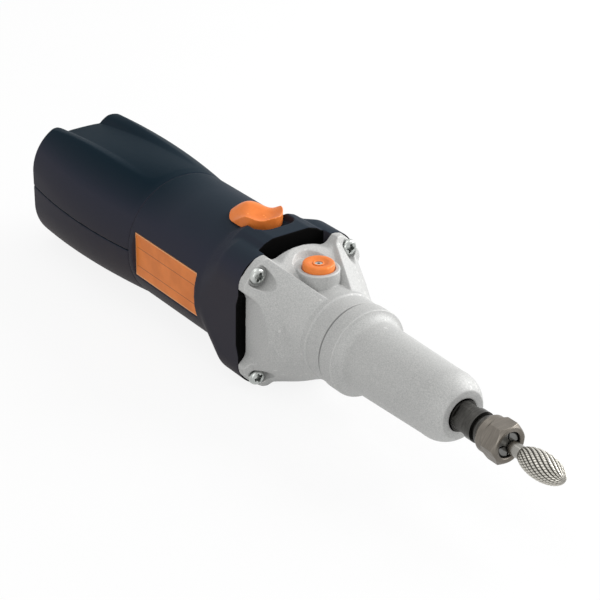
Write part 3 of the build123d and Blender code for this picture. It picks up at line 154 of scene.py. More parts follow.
# Painted highlight along outer edges and painted shade along inner ones, and the painted shade line
# where the barrel meets the collar
EDGE_PAINT_REACH = 0.06
EDGE_PAINT_START = 0.15
JOINT_SHADE_FADE = (0.45, 1.0)

# How far the painted shade reaches into recesses in metal
RECESS_SHADE_REACH = 1.6

# Width in metres of a wave texture's bands at a scale of 1
WAVE_BAND = 0.31

# Plate print: border and two rules
PLATE_BORDER = 0.45
PLATE_RULES = (4.3, -6.1)
PLATE_RULE_HALF = 0.17
PLATE_RULE_MARGIN = 1.6

# Studio: light of the world, floor, and each lamp's place, width and height in metres and
# its power in watts
WORLD_LIGHT = 0.62
WHITE = (1, 1, 1, 1)
FLOOR_HALF = 2.5
FLOOR_WHITE = 0.87
FLOOR_DEEP = (0.84, 0.84, 0.84, 1)
FLOOR_BRIGHT = (0.87, 0.87, 0.87, 1)
LAMPS = {
    "key": ((0.15, 0.95, 0.5), 0.7, 0.7, 11.5),
    "top": ((-0.15, -0.1, 1.0), 0.9, 0.6, 1.8),
    "fill": ((0.9, -0.75, 0.4), 0.8, 0.8, 3.0),
}

# Points of one mesh that lie closer than this, in metres, are one
WELD = 1e-7

# Nut
NUT_FLATS = 17.5
NUT_FLAT_ANGLE = 30.0
NUT_ROUND_LENGTH = 4.2
NUT_ROUND_RADIUS = 8.82
NUT_RUN_IN = 1.2
NUT_CHAMFER = 1.6
NUT_FRONT_RADIUS = 8.2
NUT_BORE_RADIUS = 6.25
NUT_CONE_LENGTH = 2.4
NUT_THREAD_RADIUS = 7.0
NUT_FACE_EDGE = 0.3
NUT_BORE_EDGE = 0.35
NUT_THREAD_EDGE = 0.5
NUT_REAR_EDGE = 0.6
NUT_REAR_EDGE_SLOPE = 0.55
NUT_REAR_CONE_SLOPE = 0.8
NUT_CORNER_ROUND = 0.06
NUT_EDGE_ROUND = 0.05
NUT_LEAST_LEAN = 0.3
NUT_AROUND = 240
NUT_ROUND_RINGS = 24
NUT_HEX_RINGS = 90
NUT_RING_GAP = 0.05
NUT_SHARP = 50

# Collet's face: where it starts along X, its radius inside the rim of painted shade, the rim's
# soft edge, and its tone
COLLET_FACE = 99.2
COLLET_FACE_RADIUS = 5.2
COLLET_RIM_EDGE = 0.3
COLLET_TONE = (0.17, 0.17, 0.165, 1)

# Burr: its oval, main flutes, opposite cut and how deep they go
BURR_HALF_LENGTH = 13.6
BURR_SWEEP = 0.995
BURR_RINGS = 170
BURR_NECK = 108.2
BURR_NECK_EDGE = 0.4
BURR_NECK_FADE = 1.2
BURR_TIP_FADE = 1.3
BURR_LEAST_CUT = 0.2
FLUTES = 18
FLUTE_HELIX = -27.0
FLUTE_DEPTH = 0.6
FLUTE_FALL = 0.3
FLUTE_POINTS = 15
CROSS_CUTS = 24
CROSS_HELIX = 38.0
CROSS_DEPTH = 0.55
CROSS_HALF_WIDTH = 0.13
END_DEPTHS = (0.6, 0.2)
BURR_SHARP = 70

# Casting screws
SCREW_OFFSET = 27.0
SCREW_HEAD_RADIUS = 4.2
SCREW_HEAD_HEIGHT = 2.6
SCREW_RADIUS = 2.5
SCREW_DOME_POWERS = (4.5, 0.4)
SCREW_POINT_LENGTH = 1.5
SCREW_POINT_SHARE = 0.5
SCREW_AROUND = 96
SCREW_HEAD_RINGS = 40
SCREW_FIRST_RING = 0.02
SCREW_TURNS = (18, 63, 37, 80)
SCREW_SHARP = 55
DRIVE_HALF_SPAN = 2.2
DRIVE_HALF_WIDTH = 0.72
DRIVE_HEART_RADIUS = 1.35
DRIVE_WALL = 0.25
DRIVE_END_WALL = 0.6
DRIVE_END_SHARE = 0.3
DRIVE_HEART_WALL = 0.35
DRIVE_DEPTH = 1.9

# Lock button and its spring
BUTTON_RADIUS = 7.7
BUTTON_EDGE = 1.2
BUTTON_DISH_RADIUS = 5.4
BUTTON_DISH_DEPTH = 0.8
BUTTON_SKIRT = 2.1
BUTTON_ROOF = 2.4
BUTTON_EYE_RADIUS = 1.9
BUTTON_EYE_DEPTH = 0.8
BUTTON_FOOT = 0.6
BUTTON_LIP = 0.9
BUTTON_DISH_POINTS = 10
BUTTON_SCREW_RADIUS = 1.0
SPRING_WALL = 1.0
LATHE_AROUND = 128
ARC_POINTS = 8


def linear(red, green, blue):
    """Linear colour of an sRGB colour with values from 11 to 255."""
    return tuple(((v / 255 + 0.055) / 1.055) ** 2.4 for v in (red, green, blue)) + (1.0,)


def scaled(tone, factor, lift=0.0):
    """Colour made brighter or darker, but no brighter than white."""
    return tuple(min(factor * value + lift, 1.0) for value in tone[:3]) + (1.0,)


class Shade:
    """Node tree of one material, with short ways to add nodes."""

    def __init__(self, name):
        self.material = bpy.data.materials.new(name)
        self.material.use_nodes = True
        self.tree = self.material.node_tree
        self.surface = self.tree.nodes["Principled BSDF"]
        self.place = self.node("ShaderNodeTexCoord").outputs["Object"]

    def feed(self, socket, value):
        """Links a socket to another one or sets its value."""
        if isinstance(value, bpy.types.NodeSocket):
            self.tree.links.new(value, socket)
        else:
            socket.default_value = value

    def node(self, kind, sockets=None, **settings):
        """New node with its settings, and its sockets linked or set."""
        made = self.tree.nodes.new(kind)
        for key, value in settings.items():
            setattr(made, key, value)
        for key, value in (sockets or {}).items():
            self.feed(made.inputs[key], value)
        return made

    def look(self, **values):
        """Sets the surface's sockets, named with underscores for spaces."""
        for key, value in values.items():
            self.feed(self.surface.inputs[key.replace("_", " ")], value)

    def stretched(self, x, y, z):
        """Coordinates scaled along each axis."""
        sockets = {"Vector": self.place, "Scale": (x, y, z)}
        return self.node("ShaderNodeMapping", sockets).outputs["Vector"]

    def noise(self, size, detail=2.0, vector=None):
        """Noise whose features are about that many millimetres across."""
        sockets = {"Vector": vector or self.place, "Scale": 1 / (size * MM), "Detail": detail}
        return self.node("ShaderNodeTexNoise", sockets).outputs["Fac"]

    def span(self, value, low, high, to_low, to_high):
        """Value carried from one range over to another and held at its ends."""
        sockets = {"Value": value, "From Min": low, "From Max": high}
        sockets.update({"To Min": to_low, "To Max": to_high})
        return self.node("ShaderNodeMapRange", sockets).outputs["Result"]

    def blend(self, factor, low, high):
        """Colour between two, by a factor from 0 to 1."""
        mix = self.node("ShaderNodeMix", {0: factor, 6: low, 7: high}, data_type="RGBA")
        return mix.outputs[2]

    def maths(self, first, second, operation):
        """Outcome of an operation on two values."""
        made = self.node("ShaderNodeMath", {0: first, 1: second}, operation=operation)
        return made.outputs["Value"]

    def away(self, value, mark):
        """Distance of a value from a mark."""
        return self.maths(self.maths(value, mark, "SUBTRACT"), 0.0, "ABSOLUTE")

    def axes(self):
        """X, Y and Z of the point, in metres."""
        split = self.node("ShaderNodeSeparateXYZ", {0: self.place})
        return [split.outputs[name] for name in "XYZ"]

    def edge_highlight_shade(self, tone, pale, dark):
        """Tone with a painted highlight along outer edges and painted shade along inner ones."""
        bend = self.node("ShaderNodeNewGeometry").outputs["Pointiness"]
        start = EDGE_PAINT_START * EDGE_PAINT_REACH
        outer = self.span(bend, 0.5 + start, 0.5 + EDGE_PAINT_REACH, 0.0, 1.0)
        inner = self.span(bend, 0.5 - EDGE_PAINT_REACH, 0.5 - start, 1.0, 0.0)
        return self.blend(inner, self.blend(outer, tone, pale), dark)

    def bump(self, height, depth):
        """Bump that is about that many millimetres deep."""
        sockets = {"Height": height, "Distance": depth * MM, "Strength": 1.0}
        return self.node("ShaderNodeBump", sockets).outputs["Normal"]


def body_plastic(name):
    """Dark satin moulding with a fine grain, painted light and shade by facing: warmer painted
    bounce light below, painted teal shade on top and on the rear cover's top, and painted shade in
    the vents.
    """
    s = Shade(name)
    grain = s.noise(0.35, 1.0)
    cloud = s.noise(26.0, 3.0)
    normal = s.node("ShaderNodeNewGeometry").outputs["Normal"]
    facing = s.node("ShaderNodeSeparateXYZ", {0: normal}).outputs
    x = s.axes()[0]
    # Painted light and shade by facing: lighter, warmer bounce light painted below, teal shade
    # painted on top
    tone = s.blend(s.span(facing["Z"], -0.6, 0.6, 0.0, 1.0), BODY_UNDER_PAINTED_BOUNCE, BODY_SIDE)
    tone = s.blend(s.span(cloud, 0.35, 0.65, 0.0, 0.3), tone, BODY_CLOUD)
    tone = s.blend(s.span(facing["Z"], 0.6, 1.0, 0.0, 1.0), tone, BODY_TOP_PAINTED_SHADE)
    # Painted teal shade on the up-facing saddle of the rear cover
    rear, front = ((SEAM + step) * MM for step in SADDLE_FADE)
    behind = s.span(x, rear, front, 1.0, 0.0)
    saddle_shade = s.maths(behind, s.span(facing["Z"], 0.5, 0.9, 0.0, 1.0), "MULTIPLY")
    tone = s.blend(saddle_shade, tone, BODY_SADDLE_PAINTED_SHADE)
    # Painted shade: faces inside the exhaust notch turn near black
    in_vent = s.maths(x, (FLANGE - NOTCH_DEPTH - VENT_MARGIN) * MM, "GREATER_THAN")
    vent_shade = s.maths(s.span(facing["X"], 0.5, 0.8, 0.0, 1.0), in_vent, "MULTIPLY")
    tone = s.blend(vent_shade, tone, BODY_VENT_PAINTED_SHADE)
    s.look(Base_Color=tone, Normal=s.bump(grain, 0.015), Specular_IOR_Level=0.02)
    s.look(Roughness=s.span(grain, 0.3, 0.7, 0.42, 0.56))
    return s.material


def moulded(name, deep, bright, roughness, shine=0.5):
    """Coloured moulding with slight clouding, a fine grain, and a painted highlight and painted
    shade along its edges.
    """
    s = Shade(name)
    grain = s.noise(0.3, 1.0)
    cloud = s.span(s.noise(5.0, 3.0), 0.35, 0.65, 0.0, 1.0)
    # Painted highlight along outer edges, painted shade in inner creases
    tone = s.edge_highlight_shade(s.blend(cloud, deep, bright), scaled(bright, 1.3, 0.02), scaled(deep, 0.6))
    s.look(Base_Color=tone, Normal=s.bump(grain, 0.012))
    s.look(Roughness=s.span(grain, 0.3, 0.7, roughness - 0.05, roughness + 0.07))
    s.look(Specular_IOR_Level=shine)
    return s.material


def blasted(name, deep, bright):
    """Bead-blasted light alloy: fine specks, a pitted skin, a painted highlight and painted shade
    along its edges, and a line of painted shade in the groove at the joint.
    """
    s = Shade(name)
    pits = s.noise(0.5, 2.0)
    specks = s.noise(0.55, 2.0)
    cloud = s.noise(14.0, 3.0)
    tone = s.blend(s.span(specks, 0.32, 0.68, 0.0, 1.0), deep, bright)
    tone = s.blend(s.span(cloud, 0.3, 0.7, 0.0, 0.25), tone, bright)
    dim = scaled(deep, 0.5)
    # Painted highlight along outer edges, painted shade in inner creases
    tone = s.edge_highlight_shade(tone, scaled(bright, 1.1), dim)
    # Painted shade: a dark line in the groove where the barrel meets the collar
    near, far = (step * MM for step in JOINT_SHADE_FADE)
    off = s.away(s.axes()[0], JOINT * MM)
    tone = s.blend(s.span(off, near, far, 0.85, 0.0), tone, dim)
    s.look(Base_Color=tone, Metallic=0.2, Normal=s.bump(pits, 0.02))
    s.look(Roughness=s.span(specks, 0.35, 0.65, 0.66, 0.54))
    return s.material


def machined(name, deep, bright, roughness, lay=0.25, face=None):
    """Turned or ground metal with fine rings along the axis and painted shade down in its recesses.
    """
    s = Shade(name)
    rings = s.noise(lay, 2.0, s.stretched(1.0, 0.06, 0.06))
    cloud = s.noise(3.5, 3.0)
    tone = s.blend(s.span(rings, 0.3, 0.7, 0.0, 1.0), deep, bright)
    tone = s.blend(s.span(cloud, 0.35, 0.7, 0.0, 0.4), tone, deep)
    # Painted shade: recesses darken where little of the surroundings reaches them
    reach = {"Distance": RECESS_SHADE_REACH * MM}
    open_sky = s.node("ShaderNodeAmbientOcclusion", reach, samples=8).outputs["AO"]
    dim = scaled(deep, 0.22)
    tone = s.blend(s.span(open_sky, 0.35, 0.8, 0.0, 1.0), dim, tone)
    # Painted shade: the collet face turns dark beyond its radius, in the gap round it
    if face:
        x, y, z = s.axes()
        squares = s.maths(s.maths(y, y, "MULTIPLY"), s.maths(z, z, "MULTIPLY"), "ADD")
        off_axis = s.maths(squares, 0.5, "POWER")
        inner, outer = COLLET_FACE_RADIUS, COLLET_FACE_RADIUS + COLLET_RIM_EDGE
        rim = s.span(off_axis, inner * MM, outer * MM, 0.0, 1.0)
        ahead = s.maths(x, COLLET_FACE * MM, "GREATER_THAN")
        tone = s.blend(ahead, tone, s.blend(rim, face, dim))
    s.look(Base_Color=tone, Metallic=1.0, Normal=s.bump(rings, 0.01))
    s.look(Roughness=s.span(cloud, 0.3, 0.7, roughness - 0.06, roughness + 0.08))
    return s.material


def fluted(name):
    """Bright ground carbide, with painted shade down in the cuts."""
    s = Shade(name)
    depth = s.node("ShaderNodeAttribute", attribute_name="cut_depth").outputs["Fac"]
    grind = s.noise(0.2, 2.0)
    shade = s.span(grind, 0.3, 0.7, 0.0, 1.0)
    tone = s.blend(shade, linear(176, 173, 165), linear(214, 211, 202))
    # Painted shade down in the cuts, by their depth
    tone = s.blend(s.span(depth, 0.5, 0.85, 0.0, 1.0), tone, linear(44, 42, 38))
    neck_end = BURR_NECK + BURR_NECK_EDGE
    shank = s.span(s.axes()[0], BURR_NECK * MM, neck_end * MM, 1.0, 0.0)
    tone = s.blend(shank, tone, linear(150, 148, 143))
    s.look(Base_Color=tone, Metallic=1.0, Normal=s.bump(grind, 0.006))
    s.look(Roughness=s.span(depth, 0.0, 1.0, 0.2, 0.5))
    return s.material


def painted(name):
    """Satin orange plate with a pale border and two fine rules, otherwise bare."""
    s = Shade(name)
    skin = s.noise(0.8, 2.0)
    cloud = s.span(s.noise(9.0, 2.0), 0.35, 0.65, 0.0, 1.0)
    tone = s.blend(cloud, linear(208, 114, 42), linear(222, 126, 52))
    x, _, z = s.axes()
    rear, front, half = (value * MM for value in PLATE)
    ahead = s.maths(x, rear, "SUBTRACT")
    from_ends = s.maths(ahead, s.maths(front, x, "SUBTRACT"), "MINIMUM")
    from_sides = s.maths(half, s.away(z, 0.0), "SUBTRACT")
    within = s.maths(from_ends, from_sides, "MINIMUM")
    lined = 0.0
    for height in PLATE_RULES:
        rule = s.maths(s.away(z, height * MM), PLATE_RULE_HALF * MM, "LESS_THAN")
        lined = s.maths(rule, lined, "MAXIMUM")
    inside = s.maths(from_ends, PLATE_RULE_MARGIN * MM, "GREATER_THAN")
    lined = s.maths(lined, inside, "MULTIPLY")
    tone = s.blend(s.maths(lined, 0.75, "MULTIPLY"), tone, linear(112, 50, 26))
    border = s.maths(within, PLATE_BORDER * MM, "LESS_THAN")
    tone = s.blend(s.maths(border, 0.6, "MULTIPLY"), tone, linear(244, 190, 142))
    s.look(Base_Color=tone, Normal=s.bump(skin, 0.01), Specular_IOR_Level=0.25)
    s.look(Roughness=s.span(skin, 0.3, 0.7, 0.36, 0.48))
    return s.material


def layered(name, deep, bright, layer, metallic, roughness):
    """Fine bands across the axis, as of stacked sheet or wound wire."""
    s = Shade(name)
    bands = s.node(
        "ShaderNodeTexWave",
        {"Vector": s.place, "Scale": WAVE_BAND / (layer * MM), "Distortion": 0.6, "Detail": 1.0},
        bands_direction="X",
    ).outputs["Fac"]
    s.look(Base_Color=s.blend(bands, deep, bright), Metallic=metallic, Normal=s.bump(bands, 0.05))
    s.look(Roughness=s.span(s.noise(1.5), 0.3, 0.7, roughness - 0.08, roughness + 0.08))
    return s.material


def matted(name, deep, bright, fibre):
    """Felt, rubber or carbon: dull, with a grain of that size."""
    s = Shade(name)
    grain = s.noise(fibre, 4.0)
    tone = s.blend(s.span(grain, 0.3, 0.7, 0.0, 1.0), deep, bright)
    s.look(Base_Color=tone, Normal=s.bump(grain, 0.05))
    s.look(Roughness=s.span(grain, 0.3, 0.7, 0.7, 0.95), Specular_IOR_Level=0.2)
    return s.material


def make_materials():
    """One material for each slot of the record."""
    makers = {
        "body_plastic": (body_plastic,),
        "orange_plastic": (moulded, linear(222, 119, 50), linear(231, 128, 58), 0.38, 0.22),
        "plate_paint": (painted,),
        "cast_alloy": (blasted, linear(163, 164, 163), linear(187, 187, 185)),
        "inner_alloy": (blasted, linear(150, 150, 150), linear(180, 180, 178)),
        "spindle_steel": (machined, linear(64, 63, 61), linear(88, 87, 84), 0.3, 0.25, COLLET_TONE),
        "nut_steel": (machined, linear(112, 107, 100), linear(132, 126, 118), 0.42, 0.5),
        "screw_steel": (machined, linear(168, 172, 170), linear(206, 208, 204), 0.3, 0.4),
        "burr_steel": (fluted,),
        "bearing_steel": (machined, linear(150, 150, 150), linear(190, 190, 188), 0.22),
        "spring_steel": (machined, linear(110, 110, 112), linear(150, 150, 150), 0.35),
        "laminations": (layered, linear(70, 70, 74), linear(120, 120, 122), 0.5, 0.8, 0.5),
        "copper": (layered, linear(120, 56, 26), linear(196, 108, 60), 0.6, 0.9, 0.35),
        "holder_brass": (machined, linear(170, 132, 62), linear(205, 168, 90), 0.35),
        "carbon": (matted, linear(24, 24, 25), linear(44, 44, 45), 0.6),
        "inner_plastic": (moulded, linear(26, 27, 30), linear(36, 37, 40), 0.5),
        "capacitor_case": (moulded, linear(196, 172, 96), linear(212, 188, 112), 0.42),
        "rubber": (matted, linear(20, 20, 21), linear(32, 32, 33), 0.8),
        "felt": (matted, linear(108, 104, 98), linear(148, 144, 136), 0.4),
    }
    for slot, (make, *looks) in makers.items():
        MATERIALS[slot] = make(slot, *looks)


def stand_in(obj, node):
    """The piece takes over a CAD node: it joins the node's body and takes its slot's material, and
    the node is hidden.
    """
    slot = SLOTS[node]
    obj.data.materials.clear()
    obj.data.materials.append(MATERIALS[slot])
    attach(obj, BODIES[node])
    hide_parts(node)
    return obj


def piece(name, mesh):
    """New object of the scene that shows a mesh."""
    obj = bpy.data.objects.new(name, mesh)
    bpy.context.scene.collection.objects.link(obj)
    return obj


def settle(obj):
    """Puts the modifiers into the object's own mesh."""
    graph = bpy.context.evaluated_depsgraph_get()
    mesh = bpy.data.meshes.new_from_object(obj.evaluated_get(graph))
    obj.modifiers.clear()
    obj.data = mesh
    return mesh


def ramp(values, fade, start=0.0):
    """0 up to the fade's first distance past the start, 1 from its second on, even between."""
    low, high = (start + step for step in fade)
    return np.clip((values - low) / (high - low), 0, 1)


def apart(x, y, box):
    """Plan distance from a box given by its ends along X and its half width."""
    rear, front, half = box
    along = np.maximum(np.maximum(rear - x, x - front), 0)
    return np.hypot(along, np.maximum(np.abs(y) - half, 0))


def housing_flow(x, y, z):
    """Share of the heavy smoothing: the outer skin, away from pocket, plate, notches and ends."""
    flow = ramp(np.hypot(y, z), SKIN_FADE, BORE_RADIUS)
    crown = ramp(z, CROWN_HEIGHTS) * ramp(x, CROWN_FADE, POCKET[0])
    flow *= 1 - CROWN_CUT * crown
    from_pocket = np.maximum(ramp(apart(x, y, POCKET), CRISP_FADE), POCKET_LEAST)
    flow *= np.where(z > POCKET_ABOVE, from_pocket, 1)
    flow *= np.where(y < PLATE_SIDE, ramp(apart(x, z, PLATE), PLATE_FADE), 1)
    flow *= ramp(x, SEAM_FADE, SEAM) * ramp(-x, END_FADE, -FLANGE)
    top_notch = (FLANGE - NOTCH_DEPTH, FLANGE, NOTCH_TOP_HALF)
    side_notch = (FLANGE - NOTCH_SIDE_DEPTH, FLANGE, NOTCH_SIDE_HALF)
    flow *= np.where(z > 0, ramp(apart(x, y, top_notch), CRISP_FADE), 1)
    flow *= np.where(z < 0, ramp(apart(x, y, side_notch), CRISP_FADE), 1)
    return flow * ramp(apart(x, z, side_notch), CRISP_FADE)


def casting_flow(x, y, z):
    """Share of the heavy smoothing: webs and valleys, not the collar, pockets or lock boss."""
    flow = ramp(-x, END_FADE, -COLLAR_REAR) * ramp(x, FLANGE_FADE, FLANGE)
    flow *= ramp(np.hypot(y, z), CONE_RADII)
    from_screws = np.hypot(np.abs(y) - SCREW_OFFSET, np.abs(z) - SCREW_OFFSET)
    flow *= ramp(from_screws, HEAD_FADE, SCREW_HEAD_RADIUS)
    from_lock = np.hypot(x - LOCK_STATION, y) - LOCK_RECESS_RADIUS
    return flow * np.where(z > LOCK_ABOVE, ramp(from_lock, LOCK_FADE), 1)


FLOWS = {"motor_housing": housing_flow, "front_casting": casting_flow}


def smoothing(obj, rounds, group=""):
    """Adds rounds of smoothing, on the whole mesh or as its vertex group says."""
    smooth = obj.modifiers.new("smooth", "SMOOTH")
    smooth.factor = SMOOTH_FACTOR
    smooth.iterations = rounds
    smooth.vertex_group = group


def flow_group(obj, flow):
    """Vertex group that holds each point's share of the heavy smoothing, in even steps."""
    points = np.empty(3 * len(obj.data.vertices), np.float32)
    obj.data.vertices.foreach_get("co", points)
    shares = np.round(FLOW_STEPS * flow(*(points.reshape(-1, 3).T / MM))).astype(int)
    group = obj.vertex_groups.new(name="flow")
    for step in range(1, FLOW_STEPS + 1):
        group.add(np.nonzero(shares == step)[0].tolist(), step / FLOW_STEPS, "REPLACE")
    return group.name


def softened(node, voxel, rounds, heavy):
    """Copy of a CAD node with rounded edges: finely remeshed, smoothed and thinned."""
    obj = piece(node + "_soft", NODES[node].data.copy())
    remesh = obj.modifiers.new("remesh", "REMESH")
    remesh.mode = "VOXEL"
    remesh.voxel_size = voxel * MM
    settle(obj)
    if heavy:
        smoothing(obj, heavy, flow_group(obj, FLOWS[node]))
    smoothing(obj, rounds)
    triangles = 2 * len(settle(obj).polygons)
    if triangles > MOST_TRIANGLES:
        thin = obj.modifiers.new("thin", "DECIMATE")
        thin.ratio = MOST_TRIANGLES / triangles
        settle(obj)
    obj.vertex_groups.clear()
    obj.data.shade_smooth()
    return stand_in(obj, node)


def slim_stem(slider):
    """Draws in the slider's stem, so that it clears the rounded corners of its slot."""
    for vertex in slider.data.vertices:
        if vertex.co.z < STEM_TOP * MM:
            vertex.co.y *= STEM_SLIM


def ring_mesh(name, rings, closed=False, sharp=40.0):
    """Mesh of rings of points, joined in order. Open ends are closed by a fan."""
    count, around, _ = rings.shape
    points = rings.reshape(-1, 3).tolist()
    faces = []
    for i in range(count if closed else count - 1):
        low = i * around
        high = (i + 1) % count * around
        for j in range(around):
            k = (j + 1) % around
            faces.append((low + j, low + k, high + k, high + j))
    if not closed:
        for start in (0, (count - 1) * around):
            middle = rings[start // around].mean(axis=0)
            points.append(middle.tolist())
            for j in range(around):
                faces.append((len(points) - 1, start + j, start + (j + 1) % around))
    mesh = bpy.data.meshes.new(name)
    mesh.from_pydata(points, [], faces)
    bm = bmesh.new()
    bm.from_mesh(mesh)
    bmesh.ops.remove_doubles(bm, verts=bm.verts, dist=WELD)
    bmesh.ops.recalc_face_normals(bm, faces=bm.faces)
    bm.to_mesh(mesh)
    bm.free()
    mesh.shade_smooth()
    mesh.set_sharp_from_angle(angle=math.radians(sharp))
    return mesh


def round_x(stations, radii, angles):
    """Rings round the X axis, in metres: one station and one radius for each point."""
    rings = np.empty(radii.shape + (3,))
    rings[..., 0] = stations
    rings[..., 1] = radii * np.cos(angles)
    rings[..., 2] = radii * np.sin(angles)
    return rings * MM


def soft_least(values, width):
    """Least of several arrays, with the creases between them rounded."""
    stack = np.stack(values)
    low = stack.min(axis=0)
    return low - width * np.log(np.exp((low - stack) / width).sum(axis=0))


def collet_nut():
    """Nut with a round rear, six flats and turned chamfers that cut arcs on them."""
    low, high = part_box("collet_nut")
    rear, front = low.x / MM, high.x / MM
    hex_start = rear + NUT_ROUND_LENGTH
    corner = NUT_FLATS / math.sqrt(3)
    angles = np.linspace(0, 2 * math.pi, NUT_AROUND, endpoint=False)[None, :]
    round_rings = np.linspace(rear, hex_start, NUT_ROUND_RINGS)
    hex_rings = np.linspace(hex_start + NUT_RING_GAP, front, NUT_HEX_RINGS)
    x = np.concatenate([round_rings, hex_rings])[:, None]
    flats = []
    for k in range(6):
        lean = np.cos(angles - math.radians(NUT_FLAT_ANGLE + 60 * k))
        flat = NUT_FLATS / 2 / np.maximum(lean, NUT_LEAST_LEAN)
        flats.append(np.where(lean > NUT_LEAST_LEAN, flat, 2 * corner) + 0 * x)
    lift = (1 - ramp(x, (0, NUT_RUN_IN), hex_start)) * (NUT_ROUND_RADIUS - NUT_FLATS / 2)
    six = soft_least(flats, NUT_CORNER_ROUND) + lift
    rear_cone = NUT_ROUND_RADIUS + np.maximum(x - hex_start, 0) * NUT_REAR_CONE_SLOPE + 0 * angles
    rear_edge = NUT_ROUND_RADIUS - NUT_REAR_EDGE + (x - rear) * NUT_REAR_EDGE_SLOPE + 0 * angles
    front_rise = (front - x) * (corner - NUT_FRONT_RADIUS) / NUT_CHAMFER
    front_cone = NUT_FRONT_RADIUS + front_rise + 0 * angles
    radii = soft_least([six, rear_cone, rear_edge, front_cone], NUT_EDGE_ROUND)
    outer = round_x(x, radii, angles)
    cone_end = front - NUT_CHAMFER
    inner_line = (
        (front, NUT_FRONT_RADIUS - NUT_FACE_EDGE),
        (front, NUT_BORE_RADIUS + NUT_BORE_EDGE),
        (front - NUT_BORE_EDGE, NUT_BORE_RADIUS),
        (cone_end, NUT_BORE_RADIUS),
        (cone_end - NUT_CONE_LENGTH, NUT_THREAD_RADIUS),
        (rear + NUT_THREAD_EDGE, NUT_THREAD_RADIUS),
        (rear, NUT_THREAD_RADIUS + NUT_THREAD_EDGE),
    )
    around = angles[0]
    inner = [round_x(at, radius + 0 * around, around) for at, radius in inner_line]
    rings = np.concatenate([outer, inner])
    mesh = ring_mesh("collet_nut_fine", rings, closed=True, sharp=NUT_SHARP)
    stand_in(piece("collet_nut_fine", mesh), "collet_nut")


def saw(phase, fall):
    """Depth of a tooth form: from 0 at the edge to 1 over the fall, then evenly back to 0."""
    turn = phase - np.floor(phase)
    return np.where(turn < fall, turn / fall, (1 - turn) / (1 - fall))


def burr_head():
    """Oval burr with helical flutes crossed by a finer opposite cut."""
    low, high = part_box("burr_head")
    neck, tip = low.x / MM, high.x / MM
    radius = high.z / MM
    half = BURR_HALF_LENGTH
    middle = tip - half
    start = math.asin((neck - middle) / half)
    sweep = np.linspace(start, math.pi / 2 * BURR_SWEEP, BURR_RINGS)[:, None]
    x = middle + half * np.sin(sweep)
    oval = radius * np.cos(sweep)
    angles = np.linspace(0, 2 * math.pi, FLUTES * FLUTE_POINTS, endpoint=False)[None, :]
    turns = angles / (2 * math.pi)
    girth = 2 * math.pi * radius
    main = FLUTES * (turns + (x - middle) * math.tan(math.radians(FLUTE_HELIX)) / girth)
    cross = CROSS_CUTS * (turns + (x - middle) * math.tan(math.radians(CROSS_HELIX)) / girth)
    fade = np.clip(oval / radius * BURR_TIP_FADE, BURR_LEAST_CUT, 1)
    fade = fade * np.clip((x - neck) / BURR_NECK_FADE, 0, 1)
    valley = saw(main, FLUTE_FALL)
    off = np.abs((cross - np.floor(cross)) - 0.5)
    notch = np.exp(-((off / CROSS_HALF_WIDTH) ** 2))
    full = np.maximum(FLUTE_DEPTH * valley, CROSS_DEPTH * notch)
    rings = round_x(x + 0 * angles, oval - fade * full, angles)
    mesh = ring_mesh("burr_head_fine", rings, sharp=BURR_SHARP)
    depth = np.append((full / FLUTE_DEPTH).ravel(), END_DEPTHS).astype(np.float32)
    attribute = mesh.attributes.new("cut_depth", "FLOAT", "POINT")
    attribute.data.foreach_set("value", depth)
    stand_in(piece("burr_head_fine", mesh), "burr_head")


def cut_share(reach, off, wall, share=0.5):
    """1 within a reach, 0 beyond it and even across the wall, with that share at the reach."""
    return np.clip((reach - off) / wall + share, 0, 1)


def drive_cut(y, z):
    """Share of the full depth of a cross recess at a point of the screw's head."""
    across, up = np.abs(y), np.abs(z)
    along_y = cut_share(DRIVE_HALF_WIDTH, up, DRIVE_WALL)
    along_y *= cut_share(DRIVE_HALF_SPAN, across, DRIVE_END_WALL, DRIVE_END_SHARE)
    along_z = cut_share(DRIVE_HALF_WIDTH, across, DRIVE_WALL)
    along_z *= cut_share(DRIVE_HALF_SPAN, up, DRIVE_END_WALL, DRIVE_END_SHARE)
    heart = cut_share(DRIVE_HEART_RADIUS, np.hypot(y, z), DRIVE_HEART_WALL)
    return np.maximum(np.maximum(along_y, along_z), heart)


def screw_rings(seat, tip, y, z, turn):
    """Pan-head screw along X: domed head with a cross recess, then the shank."""
    angles = np.linspace(0, 2 * math.pi, SCREW_AROUND, endpoint=False)
    cosine, sine = math.cos(math.radians(turn)), math.sin(math.radians(turn))
    fall, bow = SCREW_DOME_POWERS
    rings = []
    for share in np.linspace(SCREW_FIRST_RING, 1, SCREW_HEAD_RINGS):
        radius = SCREW_HEAD_RADIUS * share
        dome = SCREW_HEAD_HEIGHT * (1 - share**fall) ** bow
        across = radius * np.cos(angles)
        up = radius * np.sin(angles)
        rise = dome - DRIVE_DEPTH * drive_cut(across, up)
        place = [seat + rise, y + across * cosine - up * sine, z + across * sine + up * cosine]
        rings.append(np.stack(place, axis=1))
    point = (tip, SCREW_RADIUS * SCREW_POINT_SHARE)
    for at, radius in ((seat, SCREW_RADIUS), (tip + SCREW_POINT_LENGTH, SCREW_RADIUS), point):
        place = [at + 0 * angles, y + radius * np.cos(angles), z + radius * np.sin(angles)]
        rings.append(np.stack(place, axis=1))
    return np.stack(rings) * MM


def joined_mesh(name, meshes):
    """One mesh of several."""
    bm = bmesh.new()
    for mesh in meshes:
        bm.from_mesh(mesh)
    whole = bpy.data.meshes.new(name)
    bm.to_mesh(whole)
    bm.free()
    whole.shade_smooth()
    return whole


